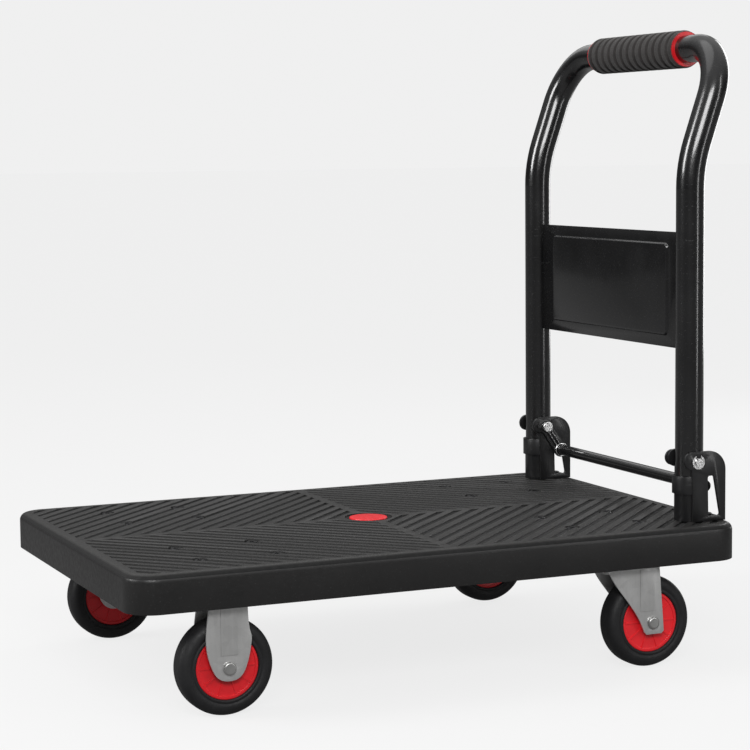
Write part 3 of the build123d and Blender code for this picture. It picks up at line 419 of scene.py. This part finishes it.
def rolled_steel(name, base):
    """Satin zinc on rolled sheet: fine upright streaks with a faint spangle under them."""
    finish = Finish(name)
    tree = finish.tree
    cells = finish.effect("Cells", Cell_Size=0.009)
    streaks = finish.effect("Surface grain", Size=0.0009, Stretch=(1, 1, 0.07))
    wear = finish.effect("Handling wear", Patch_Size=0.03, Scratch_Length=0.02, Dust=0.05)
    spangle = blended(tree, cells["Tone"], lighter(base, 0.95), lighter(base, 1.05))
    streaked = blended(tree, maths(tree, "MULTIPLY", streaks["Value"], 0.3), spangle, lighter(base, 0.72))
    dulled = blended(tree, maths(tree, "MULTIPLY", wear["Blotch"], 0.25), streaked, (0.36, 0.36, 0.35))
    rough = scaled_sum(tree, ranged(tree, streaks["Value"], 0, 1, 0.3, 0.42), wear["Scratch"], 0.12)
    finish.set(Base_Color=dulled, Roughness=rough, Metallic=0.55)
    finish.bump(streaks["Height"], 0.00006)
    return finish.material


def plated_steel(name, base, roughness, stretch):
    finish = Finish(name)
    tree = finish.tree
    grain = finish.effect("Surface grain", Size=0.0012, Stretch=stretch)
    wear = finish.effect("Handling wear", Patch_Size=0.02, Scratch_Length=0.012, Dust=0.03)
    toned = blended(tree, wear["Blotch"], lighter(base, 0.85), lighter(base, 1.1))
    streaked = blended(tree, maths(tree, "MULTIPLY", grain["Value"], 0.25), toned, lighter(base, 0.6))
    spread = ranged(tree, grain["Value"], 0, 1, roughness, roughness + 0.14)
    rough = scaled_sum(tree, spread, wear["Scratch"], 0.1)
    finish.set(Base_Color=streaked, Roughness=rough, Metallic=1.0)
    finish.bump(grain["Height"], 0.00003)
    return finish.material


def closed_foam(name, base):
    finish = Finish(name)
    tree = finish.tree
    pores = finish.effect("Cells", Cell_Size=0.0011)
    wear = finish.effect("Handling wear", Patch_Size=0.02, Scratch_Length=0.02, Dust=0.12)
    toned = blended(tree, wear["Blotch"], lighter(base, 0.85), lighter(base, 1.4))
    pitted = blended(tree, maths(tree, "MULTIPLY", pores["Tone"], 0.5), toned, lighter(base, 0.55))
    dusty = blended(tree, wear["Dust"], pitted, (0.28, 0.26, 0.24))
    rough = ranged(tree, pores["Pit"], 0, 1, 0.78, 0.92)
    finish.set(Base_Color=dusty, Roughness=rough, Specular_IOR_Level=0.3)
    finish.set(Sheen_Weight=0.15, Sheen_Roughness=0.5)
    finish.bump(pores["Pit"], 0.00028)
    return finish.material


def make_materials(colours):
    """The finish of every material slot that the record names."""
    grain_group()
    wear_group()
    cells_group()
    recess_group()
    deck_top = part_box("deck")[1].z
    # Heights that set where the deck's grooves get painted shade.
    grooves = (deck_top - 0.0015, deck_top - 0.0003)
    worn_black, worn_red = (0.10, 0.10, 0.10), (0.75, 0.12, 0.12)
    deck = moulded_plastic("Deck plastic", colours.deck, 0.42, 0.0011, 0.00010, 0.06, worn_black, grooves)
    return {
        "deck_plastic": deck,
        "red_plastic": moulded_plastic("Red plastic", colours.red, 0.34, 0.0016, 0.00004, 0.03, worn_red),
        "cap_plastic": moulded_plastic("Cap plastic", colours.deck, 0.5, 0.0010, 0.00008, 0.05, worn_black),
        "tyre_rubber": black_rubber("Tyre rubber", colours.tyre),
        "black_paint": gloss_paint("Black gloss paint", colours.paint, 0.22, 0.0016, 0.6),
        "powder_coat": gloss_paint("Black powder coat", colours.coating, 0.36, 0.0012, 0.15),
        "black_steel": plated_steel("Blackened steel", (0.035, 0.035, 0.037), 0.34, (1, 1, 1)),
        "galvanised_steel": rolled_steel("Galvanised sheet", colours.galvanised),
        "zinc_steel": plated_steel("Zinc plated steel", colours.zinc, 0.3, (1, 1, 1)),
        "bright_steel": plated_steel("Bright steel", colours.bright, 0.16, (1, 6, 1)),
        "foam": closed_foam("Grip foam", colours.foam),
    }


SLOT_OF = {part["node"]: part["material_slot"] for part in frame["record"]["subparts"]}
POWDER_COATED = (
    "hinge_bracket_left",
    "hinge_bracket_right",
    "release_lever_left",
    "release_lever_right",
    "lever_rivets",
)
finishes = {}


def finish_of(node):
    return finishes["powder_coat"] if node in POWDER_COATED else finishes[SLOT_OF[node]]


def body_of(node):
    return frame["nodes"][node]["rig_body"]


# ---------------------------------------------------------------- mesh helpers
def new_piece(name, mesh, node, *others):
    """A finished piece that rides with a CAD node's body and stands for that node and others."""
    piece = bpy.data.objects.new(name, mesh)
    bpy.context.scene.collection.objects.link(piece)
    if not mesh.materials:
        mesh.materials.append(finish_of(node))
    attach(piece, body_of(node))
    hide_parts(node, *others)
    return piece


def evaluated_mesh(source, name):
    """The plain mesh of an object with its modifiers, which are then removed with it."""
    graph = bpy.context.evaluated_depsgraph_get()
    mesh = bpy.data.meshes.new_from_object(source.evaluated_get(graph), depsgraph=graph)
    mesh.name = name
    mesh.transform(source.matrix_world)
    bpy.data.objects.remove(source)
    return mesh


def grown(name, base_mesh, group, inputs):
    """Runs a Geometry Nodes tree on a mesh and returns the plain result."""
    source = bpy.data.objects.new(name + "_source", base_mesh)
    bpy.context.scene.collection.objects.link(source)
    modifier = source.modifiers.new("Shape", "NODES")
    modifier.node_group = group
    for item in group.interface.items_tree:
        if item.in_out == "INPUT" and item.name in inputs:
            modifier[item.identifier] = inputs[item.name]
    source.update_tag()
    mesh = evaluated_mesh(source, name)
    if not mesh.polygons:
        raise RuntimeError(f"{name} came out empty")
    return mesh


def softened(node, width, segments=2, angle=radians(38)):
    """A copy of a CAD node's mesh with its facets merged and its sharp edges rounded."""
    mesh = frame["nodes"][node].data.copy()
    shape = bmesh.new()
    shape.from_mesh(mesh)
    bmesh.ops.remove_doubles(shape, verts=shape.verts, dist=1e-6)
    bmesh.ops.dissolve_limit(shape, angle_limit=radians(0.5), verts=shape.verts, edges=shape.edges)
    shape.to_mesh(mesh)
    shape.free()
    mesh.materials.clear()
    mesh.materials.append(finish_of(node))
    source = bpy.data.objects.new(node + "_source", mesh)
    bpy.context.scene.collection.objects.link(source)
    bevel = source.modifiers.new("Edges", "BEVEL")
    bevel.width = width
    bevel.segments = segments
    bevel.limit_method = "ANGLE"
    bevel.angle_limit = angle
    bevel.harden_normals = False
    result = evaluated_mesh(source, node + "_finished")
    smooth(result)
    return new_piece(node + "_finished", result, node)


def smooth(mesh, angle=radians(35)):
    """Smooth shading with the corners that are sharper than angle kept."""
    if mesh.attributes.get("custom_normal"):
        mesh.attributes.remove(mesh.attributes["custom_normal"])
    mesh.shade_smooth()
    mesh.set_sharp_from_angle(angle=angle)


def rounded(points, radius, steps=4):
    """A closed outline with each corner turned into an arc of up to this radius."""
    outline = []
    count = len(points)
    for index, corner in enumerate(points):
        here = Vector(corner)
        before = Vector(points[index - 1]) - here
        after = Vector(points[(index + 1) % count]) - here
        reach = min(radius, before.length * 0.45, after.length * 0.45)
        start = here + before.normalized() * reach
        end = here + after.normalized() * reach
        for step in range(steps + 1):
            t = step / steps
            outline.append(start * (1 - t) ** 2 + here * 2 * t * (1 - t) + end * t**2)
    return outline


def lathed(name, outline, centre, turns=96):
    """A ring turned about a line along Y through centre, from a closed outline of (radius, y)."""
    shape = bmesh.new()
    rows = []
    for turn in range(turns):
        angle = 2 * pi * turn / turns
        row = [shape.verts.new(centre + Vector((r * cos(angle), y, r * sin(angle)))) for r, y in outline]
        rows.append(row)
    for turn in range(turns):
        this, following = rows[turn], rows[(turn + 1) % turns]
        for index in range(len(outline)):
            after = (index + 1) % len(outline)
            shape.faces.new((this[index], this[after], following[after], following[index]))
    bmesh.ops.remove_doubles(shape, verts=shape.verts, dist=1e-6)
    bmesh.ops.recalc_face_normals(shape, faces=shape.faces)
    mesh = bpy.data.meshes.new(name)
    shape.to_mesh(mesh)
    shape.free()
    return mesh


def middle(node):
    low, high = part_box(node)
    return (low + high) / 2


# ---------------------------------------------------------------- geometry node trees
def finishing_nodes(group, geometry, material, made):
    """The end of every tree: real copies, one material."""
    real = place(group, "GeometryNodeRealizeInstances", {"Geometry": geometry}).outputs[0]
    dressed = place(group, "GeometryNodeSetMaterial", {"Geometry": real, "Material": material}).outputs[0]
    group.links.new(dressed, made.inputs["Geometry"])


def ribbed_sleeve_tree(material):
    """Sinks a row of soft ring grooves into a plain sleeve that lies along Y."""
    group, given, made = new_group(
        "Ribbed sleeve",
        "GeometryNodeTree",
        [
            ("Geometry", "NodeSocketGeometry", None),
            ("Grooved Length", "NodeSocketFloat", 0.18),
            ("Skin Radius", "NodeSocketFloat", 0.0215),
            ("Groove Depth", "NodeSocketFloat", 0.002),
            ("Groove Share", "NodeSocketFloat", 0.35),
            ("Rings", "NodeSocketInt", 12),
            ("Centre", "NodeSocketVector", (0, 0, 0)),
        ],
        [("Geometry", "NodeSocketGeometry")],
    )
    here = place(group, "GeometryNodeInputPosition").outputs[0]
    offset = vector(group, "SUBTRACT", here, given.outputs["Centre"])
    parts = place(group, "ShaderNodeSeparateXYZ", {0: offset}).outputs
    flat = place(group, "ShaderNodeCombineXYZ", {0: parts[0], 2: parts[2]}).outputs[0]
    radius = place(group, "ShaderNodeVectorMath", {0: flat}, operation="LENGTH").outputs["Value"]
    outward = place(group, "ShaderNodeVectorMath", {0: flat}, operation="NORMALIZE").outputs[0]
    pitch = maths(group, "DIVIDE", given.outputs["Grooved Length"], given.outputs["Rings"])
    half = maths(group, "MULTIPLY", given.outputs["Grooved Length"], 0.5)
    along = maths(group, "DIVIDE", maths(group, "ADD", parts[1], half), pitch)
    from_groove = maths(group, "ABSOLUTE", maths(group, "SUBTRACT", along, maths(group, "ROUND", along)))
    groove_half = maths(group, "MULTIPLY", given.outputs["Groove Share"], 0.5)
    floor_end = maths(group, "MULTIPLY", groove_half, 0.55)
    wall_end = maths(group, "MULTIPLY", groove_half, 1.5)
    inputs = {0: from_groove, 1: floor_end, 2: wall_end, 3: 1.0, 4: 0.0}
    sunk = place(group, "ShaderNodeMapRange", inputs, interpolation_type="SMOOTHSTEP").outputs[0]
    reach = maths(group, "ADD", half, maths(group, "MULTIPLY", pitch, 0.45))
    inside = maths(group, "LESS_THAN", maths(group, "ABSOLUTE", parts[1]), reach)
    skin = maths(group, "GREATER_THAN", radius, given.outputs["Skin Radius"])
    full_depth = maths(group, "MULTIPLY", sunk, given.outputs["Groove Depth"])
    depth = maths(group, "MULTIPLY", full_depth, maths(group, "MULTIPLY", inside, skin))
    shift = vector(group, "SCALE", outward, maths(group, "MULTIPLY", depth, -1.0))
    inputs = {"Geometry": given.outputs["Geometry"], "Offset": shift}
    ribbed = place(group, "GeometryNodeSetPosition", inputs)
    finishing_nodes(group, ribbed.outputs[0], material, made)
    return group


def spoked_hub_tree(material):
    """Joins a hub's turned body with radial ribs, spread evenly round the axle."""
    group, given, made = new_group(
        "Spoked hub",
        "GeometryNodeTree",
        [
            ("Geometry", "NodeSocketGeometry", None),
            ("Spokes", "NodeSocketInt", 10),
            ("Inner Radius", "NodeSocketFloat", 0.011),
            ("Outer Radius", "NodeSocketFloat", 0.031),
            ("Thickness", "NodeSocketFloat", 0.0018),
            ("Width", "NodeSocketFloat", 0.02),
            ("Centre", "NodeSocketVector", (0, 0, 0)),
        ],
        [("Geometry", "NodeSocketGeometry")],
    )
    inner, outer = given.outputs["Inner Radius"], given.outputs["Outer Radius"]
    reach = maths(group, "SUBTRACT", outer, inner)
    inputs = {0: reach, 1: given.outputs["Width"], 2: given.outputs["Thickness"]}
    size = place(group, "ShaderNodeCombineXYZ", inputs)
    rib = place(group, "GeometryNodeMeshCube", {"Size": size.outputs[0]}).outputs[0]
    halfway = maths(group, "MULTIPLY", maths(group, "ADD", outer, inner), 0.5)
    offset = place(group, "ShaderNodeCombineXYZ", {0: halfway}).outputs[0]
    rib = place(group, "GeometryNodeTransform", {"Geometry": rib, "Translation": offset}).outputs[0]
    inputs = {"Count": given.outputs["Spokes"], "Position": given.outputs["Centre"]}
    spots = place(group, "GeometryNodePoints", inputs)
    step = maths(group, "DIVIDE", 2 * pi, given.outputs["Spokes"])
    turn = maths(group, "MULTIPLY", place(group, "GeometryNodeInputIndex").outputs[0], step)
    rotation = place(group, "ShaderNodeCombineXYZ", {1: turn}).outputs[0]
    inputs = {"Points": spots.outputs[0], "Instance": rib, "Rotation": rotation}
    ribs = place(group, "GeometryNodeInstanceOnPoints", inputs)
    joined = place(group, "GeometryNodeJoinGeometry")
    group.links.new(given.outputs["Geometry"], joined.inputs[0])
    group.links.new(ribs.outputs[0], joined.inputs[0])
    finishing_nodes(group, joined.outputs[0], material, made)
    return group


TIGHTENING_SEED = 7  # draws how far round each bolt was tightened


def bolt_pattern_tree(material):
    """Copies one bolt to four patterns of four, placed evenly about the deck's middle."""
    group, given, made = new_group(
        "Bolt patterns",
        "GeometryNodeTree",
        [
            ("Geometry", "NodeSocketGeometry", None),
            ("Pattern Distance X", "NodeSocketFloat", 0.44),
            ("Pattern Distance Y", "NodeSocketFloat", 0.257),
            ("Bolt Distance X", "NodeSocketFloat", 0.087),
            ("Bolt Distance Y", "NodeSocketFloat", 0.078),
            ("Centre", "NodeSocketVector", (0, 0, 0)),
        ],
        [("Geometry", "NodeSocketGeometry")],
    )
    grids = []
    for step in ("Pattern", "Bolt"):
        inputs = {f"Size {axis}": given.outputs[f"{step} Distance {axis}"] for axis in "XY"}
        inputs.update({"Vertices X": 2, "Vertices Y": 2})
        grids.append(place(group, "GeometryNodeMeshGrid", inputs).outputs[0])
    inputs = {"Points": grids[0], "Instance": grids[1]}
    patterns = place(group, "GeometryNodeInstanceOnPoints", inputs).outputs[0]
    spots = place(group, "GeometryNodeRealizeInstances", {"Geometry": patterns}).outputs[0]
    index = place(group, "GeometryNodeInputIndex").outputs[0]
    draw = place(group, "FunctionNodeRandomValue", {"Seed": TIGHTENING_SEED, "ID": index})
    turn = maths(group, "MULTIPLY", draw.outputs[1], 2 * pi)
    rotation = place(group, "ShaderNodeCombineXYZ", {2: turn}).outputs[0]
    inputs = {"Points": spots, "Instance": given.outputs["Geometry"], "Rotation": rotation}
    bolts = place(group, "GeometryNodeInstanceOnPoints", inputs).outputs[0]
    moved = place(group, "GeometryNodeTransform", {"Geometry": bolts, "Translation": given.outputs["Centre"]})
    finishing_nodes(group, moved.outputs[0], material, made)
    return group


# ---------------------------------------------------------------- operators
class CART_OT_materials(bpy.types.Operator):
    """Make the finishes and give them to the CAD nodes"""

    bl_idname = "cart.materials"
    bl_label = "Materials"

    def execute(self, context):
        finishes.update(make_materials(context.scene.cart_colours))
        for name, node in frame["nodes"].items():
            node.data.materials.clear()
            node.data.materials.append(finish_of(name))
        return {"FINISHED"}


class CART_OT_sheet_metal(bpy.types.Operator):
    """Round the edges of the deck, the pressed sheets and the back panel"""

    bl_idname = "cart.sheet_metal"
    bl_label = "Deck and sheet metal"

    def execute(self, context):
        edges = context.scene.cart_edges
        softened("deck", edges.moulded)
        for corner in CORNERS:
            softened(f"fork_{corner}", edges.pressed)
        for side in ("left", "right"):
            softened(f"hinge_bracket_{side}", edges.pressed)
            softened(f"release_lever_{side}", edges.pressed)
            softened(f"swivel_plate_{side}", edges.pressed)
        softened("back_panel", edges.machined)
        return {"FINISHED"}


SKIN_ROWS = 120  # rows of the foam's skin in half its length
SKIN_MARGIN = 6  # rows at each end that make way for the chamfer


class CART_OT_grip(bpy.types.Operator):
    """Make the ribbed foam grip"""

    bl_idname = "cart.grip"
    bl_label = "Foam grip"

    def execute(self, context):
        grip = context.scene.cart_grip
        low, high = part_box("foam_grip")
        ring_low, ring_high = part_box("grip_ring_left")
        outer, half = (high.z - low.z) / 2, (high.y - low.y) / 2
        ring, ring_width = (ring_high.z - ring_low.z) / 2, ring_high.y - ring_low.y
        tube = self.tube_radius()
        last_row = 2 * SKIN_ROWS - SKIN_MARGIN
        skin = [(outer, half * (row / SKIN_ROWS - 1)) for row in range(SKIN_MARGIN, last_row + 1)]
        counterbore = half - ring_width
        outline = [(tube, counterbore), (ring, counterbore), (ring, half), (outer - grip.chamfer, half)]
        outline = [(r, -y) for r, y in outline] + skin + list(reversed(outline))
        base = lathed("grip_base", outline, middle("foam_grip"), turns=96)
        inputs = {
            "Grooved Length": 2 * (half - ring_width - grip.end_length / 2),
            "Skin Radius": (outer + ring) / 2,
            "Groove Depth": grip.groove_depth,
            "Groove Share": grip.groove_share,
            "Rings": grip.rings,
            "Centre": tuple(middle("foam_grip")),
        }
        mesh = grown("grip", base, ribbed_sleeve_tree(finishes["foam"]), inputs)
        smooth(mesh, radians(60))
        piece = new_piece("grip_foam", mesh, "foam_grip")
        return {"FINISHED"}

    def tube_radius(self):
        low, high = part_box("tube_end_caps")
        return (high.x - low.x) / 2


TREAD_STEPS = 8  # rows across the crowned tread
SHOULDER_STEPS = 10  # rows round each shoulder
MOULD_LINE = (0.0052, 0.0045, 0.0034, 0.0027)  # over the rim: its outer edge, floor and inner edge
MOULD_LINE_DEPTH = 0.0007
BEAD_ROUND = 0.0010
RIM_INSET = 0.002  # from the tyre's side in to the rim's end
RUNNING_CLEARANCE = 0.0001  # between the sleeve and the hub's bore
HUB_EDGE_ROUND = 0.0012
SPOKE_BITE = 0.001  # how far a spoke reaches into the rim and the boss


class CART_OT_wheels(bpy.types.Operator):
    """Make the four wheels: turned tyres and spoked hubs"""

    bl_idname = "cart.wheels"
    bl_label = "Wheels"

    def execute(self, context):
        wheels = context.scene.cart_wheels
        tree = spoked_hub_tree(finishes["red_plastic"])
        for corner in CORNERS:
            self.make_tyre(wheels, corner)
            self.make_hub(wheels, corner, tree)
        return {"FINISHED"}

    def make_tyre(self, wheels, corner):
        node = f"tyre_{corner}"
        low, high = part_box(node)
        radius, half = (high.z - low.z) / 2, (high.y - low.y) / 2
        inner = (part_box(f"hub_{corner}")[1].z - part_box(f"hub_{corner}")[0].z) / 2
        shoulder = wheels.tyre_shoulder
        outline = []
        for step in range(TREAD_STEPS + 1):
            across = (step / TREAD_STEPS * 2 - 1) * (half - shoulder)
            outline.append((radius - wheels.tyre_crown * (across / half) ** 2, across))
        edge_radius = outline[-1][0]
        for side in (1, -1):
            arc = []
            for step in range(1, SHOULDER_STEPS + 1):
                angle = pi / 2 * step / SHOULDER_STEPS
                fall, reach = shoulder * (1 - cos(angle)), half - shoulder * (1 - sin(angle))
                arc.append((edge_radius - fall, side * reach))
            sunk = half - MOULD_LINE_DEPTH
            bead = [(inner + up, side * y) for up, y in zip(MOULD_LINE, (half, sunk, sunk, half))]
            bead += [(inner + BEAD_ROUND, side * half), (inner, side * (half - BEAD_ROUND))]
            run = arc + bead
            outline = outline + run if side > 0 else list(reversed(run)) + outline
        mesh = lathed(f"tyre_{corner}", outline, middle(node))
        smooth(mesh, radians(50))
        new_piece(f"tyre_{corner}_finished", mesh, node)

    def make_hub(self, wheels, corner, tree):
        node = f"hub_{corner}"
        low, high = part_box(node)
        outer, boss_half = (high.z - low.z) / 2, (high.y - low.y) / 2
        tyre_low, tyre_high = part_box(f"tyre_{corner}")
        rim_half = (tyre_high.y - tyre_low.y) / 2 - RIM_INSET
        sleeve_low, sleeve_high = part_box(f"axle_sleeve_{corner}")
        bore = (sleeve_high.z - sleeve_low.z) / 2 + RUNNING_CLEARANCE
        web_half = wheels.web_width / 2
        rim_inner = outer - wheels.rim_width
        boss = wheels.boss_diameter / 2
        face = [
            (outer, rim_half),
            (rim_inner, rim_half),
            (rim_inner, web_half),
            (boss, web_half),
            (boss, boss_half),
            (bore, boss_half),
        ]
        corners = face + [(r, -y) for r, y in reversed(face)]
        body = lathed(f"hub_{corner}", rounded(corners, HUB_EDGE_ROUND), middle(node))
        inputs = {
            "Spokes": wheels.spokes,
            "Inner Radius": boss - SPOKE_BITE,
            "Outer Radius": rim_inner + SPOKE_BITE,
            "Thickness": wheels.spoke_thickness,
            "Width": wheels.spoke_width,
            "Centre": tuple(middle(node)),
        }
        mesh = grown(f"hub_{corner}", body, tree, inputs)
        smooth(mesh, radians(40))
        new_piece(f"hub_{corner}_finished", mesh, node)


class CART_OT_deck_bolts(bpy.types.Operator):
    """Make the sixteen recessed deck bolts with their sockets"""

    bl_idname = "cart.deck_bolts"
    bl_label = "Deck bolts"

    def execute(self, context):
        bolts = context.scene.cart_bolts
        low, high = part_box("deck_bolts")
        inputs = {
            "Pattern Distance X": high.x - low.x - bolts.head_diameter - bolts.pattern_x,
            "Pattern Distance Y": high.y - low.y - bolts.head_diameter - bolts.pattern_y,
            "Bolt Distance X": bolts.pattern_x,
            "Bolt Distance Y": bolts.pattern_y,
            "Centre": ((low.x + high.x) / 2, (low.y + high.y) / 2, high.z),
        }
        bolt = self.one_bolt(bolts, high.z - low.z)
        mesh = grown("bolts", bolt, bolt_pattern_tree(finishes["black_steel"]), inputs)
        smooth(mesh, radians(35))
        new_piece("deck_bolts_finished", mesh, "deck_bolts")
        return {"FINISHED"}

    def one_bolt(self, bolts, total_length):
        """A round head with a hexagon socket; the top of the head is at Z = 0."""
        head, height = bolts.head_diameter / 2, bolts.head_height
        shank, socket = bolts.shank_diameter / 2, bolts.socket_diameter / 2
        socket_depth = height * 0.75
        turns = 36
        rings = [
            (shank * 0.85, -total_length, 0),
            (shank, -total_length + shank * 0.2, 0),
            (shank, -height, 0),
            (head, -height, 0),
            (head, -height * 0.45, 0),
            (head * 0.94, -height * 0.2, 0),
            (head * 0.82, -height * 0.05, 0),
            (head * 0.70, 0, 0),
            (socket * 1.25, 0, 0),
            (socket * 1.12, -height * 0.06, 1),
            (socket * 1.12, -socket_depth, 1),
        ]
        shape = bmesh.new()
        rows = []
        for radius, z, is_hexagon in rings:
            row = []
            for turn in range(turns):
                angle = 2 * pi * turn / turns
                flat = cos(pi / 6) / cos((angle % (pi / 3)) - pi / 6) if is_hexagon else 1.0
                row.append(shape.verts.new((radius * flat * cos(angle), radius * flat * sin(angle), z)))
            rows.append(row)
        for lower, upper in zip(rows, rows[1:]):
            for turn in range(turns):
                after = (turn + 1) % turns
                shape.faces.new((lower[turn], lower[after], upper[after], upper[turn]))
        shape.faces.new(reversed(rows[0]))
        shape.faces.new(rows[-1])
        bmesh.ops.recalc_face_normals(shape, faces=shape.faces)
        mesh = bpy.data.meshes.new("one_bolt")
        shape.to_mesh(mesh)
        shape.free()
        return mesh


class CART_OT_stage(bpy.types.Operator):
    """Make the floor, the studio lights and the camera"""

    bl_idname = "cart.stage"
    bl_label = "Stage"

    def execute(self, context):
        stage = context.scene.cart_stage
        self.make_floor(context.scene.cart_colours.floor, stage)
        self.make_world(context.scene, stage)
        self.add_sun(stage)
        self.add_softbox("key", (-1.0, -2.4, 1.7), (1.3, 0.8), 44.0)
        self.add_softbox("left_window", (-2.3, 0.35, 1.5), (0.7, 1.1), 40.0)
        self.add_softbox("right_strip", (1.5, -2.05, 1.0), (0.2, 2.0), 10.0)
        self.add_softbox("rim", (2.2, 1.1, 0.9), (0.9, 1.6), 16.0)
        self.add_softbox("back", (0.9, 2.6, 1.9), (2.4, 0.9), 4.0)
        self.add_camera(context.scene, stage)
        return {"FINISHED"}

    def make_floor(self, floor_colour, stage):
        """A pale floor that stays evenly lit out to the horizon and bounces only a little light."""
        shape = bmesh.new()
        bmesh.ops.create_grid(shape, x_segments=1, y_segments=1, size=60)
        mesh = bpy.data.meshes.new("floor")
        shape.to_mesh(mesh)
        shape.free()
        floor = bpy.data.objects.new("floor", mesh)
        bpy.context.scene.collection.objects.link(floor)
        finish = Finish("Studio floor")
        seen = place(finish.tree, "ShaderNodeLightPath").outputs["Is Camera Ray"]
        glow = ranged(finish.tree, seen, 0, 1, stage.floor_bounce, stage.floor_glow)
        finish.set(Base_Color=(*floor_colour, 1), Roughness=0.95, Specular_IOR_Level=0.0)
        finish.set(Emission_Color=(1, 1, 1, 1), Emission_Strength=glow)
        mesh.materials.append(finish.material)

    def make_world(self, scene, stage):
        """A pale backdrop with a dimmer room round it, so black gloss stays black."""
        world = bpy.data.worlds.new("Studio")
        world.use_nodes = True
        tree = world.node_tree
        background = tree.nodes["Background"]
        background.inputs["Color"].default_value = (1.0, 1.0, 1.0, 1)
        direction = place(tree, "ShaderNodeTexCoord").outputs["Generated"]
        height = place(tree, "ShaderNodeSeparateXYZ", {0: direction}).outputs[2]
        room = ranged(tree, height, 0.15, 0.85, stage.room_light, stage.ceiling)
        seen = place(tree, "ShaderNodeLightPath").outputs["Is Camera Ray"]
        strength = place(tree, "ShaderNodeMix", {0: seen, 2: room, 3: stage.backdrop}).outputs[0]
        tree.links.new(strength, background.inputs["Strength"])
        scene.world = world
        scene.view_settings.view_transform = "Standard"

    def add_sun(self, stage):
        light = bpy.data.lights.new("overhead", "SUN")
        light.energy = stage.overhead
        light.angle = radians(50)
        lamp = bpy.data.objects.new("overhead", light)
        lamp.rotation_euler = (radians(-18), radians(-20), 0)
        bpy.context.scene.collection.objects.link(lamp)

    def add_softbox(self, name, place_at, size, power):
        light = bpy.data.lights.new(name, "AREA")
        light.shape = "RECTANGLE"
        light.size, light.size_y = size
        light.energy = power
        lamp = bpy.data.objects.new(name, light)
        lamp.location = place_at
        aim = Vector((0, 0, 0.25)) - Vector(place_at)
        lamp.rotation_euler = aim.to_track_quat("-Z", "Y").to_euler()
        bpy.context.scene.collection.objects.link(lamp)

    def add_camera(self, scene, stage):
        data = bpy.data.cameras.new("camera")
        data.lens = stage.lens
        camera = bpy.data.objects.new("camera", data)
        level = cos(stage.elevation)
        back = Vector((sin(stage.azimuth) * level, -cos(stage.azimuth) * level, sin(stage.elevation)))
        target = Vector((stage.target_x, 0, stage.target_z))
        turn = (-back).to_track_quat("-Z", "Y").to_matrix().to_4x4()
        moved = Matrix.Translation(target + back * stage.distance)
        camera.matrix_world = moved @ turn @ Matrix.Rotation(stage.roll, 4, "Z")
        scene.collection.objects.link(camera)
        scene.camera = camera


OPERATORS = (
    CART_OT_materials,
    CART_OT_sheet_metal,
    CART_OT_grip,
    CART_OT_wheels,
    CART_OT_deck_bolts,
    CART_OT_stage,
)


class CART_PT_panel(bpy.types.Panel):
    """Lists the cart's pieces and their settings"""

    bl_idname = "CART_PT_panel"
    bl_label = "Folding platform cart"
    bl_space_type = "VIEW_3D"
    bl_region_type = "UI"
    bl_category = "Cart"

    def draw(self, context):
        for operator in OPERATORS:
            self.layout.operator(operator.bl_idname)
        for name, settings in SETTINGS.items():
            box = self.layout.box()
            for setting in settings.__annotations__:
                box.prop(getattr(context.scene, name), setting)


def register():
    for settings in SETTINGS.values():
        bpy.utils.register_class(settings)
    for name, settings in SETTINGS.items():
        setattr(bpy.types.Scene, name, PointerProperty(type=settings))
    for panel_or_operator in (*OPERATORS, CART_PT_panel):
        bpy.utils.register_class(panel_or_operator)


def unregister():
    for panel_or_operator in reversed((*OPERATORS, CART_PT_panel)):
        bpy.utils.unregister_class(panel_or_operator)
    for name in SETTINGS:
        delattr(bpy.types.Scene, name)
    for settings in reversed(SETTINGS.values()):
        bpy.utils.unregister_class(settings)


def main():
    register()
    bpy.ops.cart.materials()
    bpy.ops.cart.sheet_metal()
    bpy.ops.cart.grip()
    bpy.ops.cart.wheels()
    bpy.ops.cart.deck_bolts()
    bpy.ops.cart.stage()


if __name__ == "__main__":
    main()
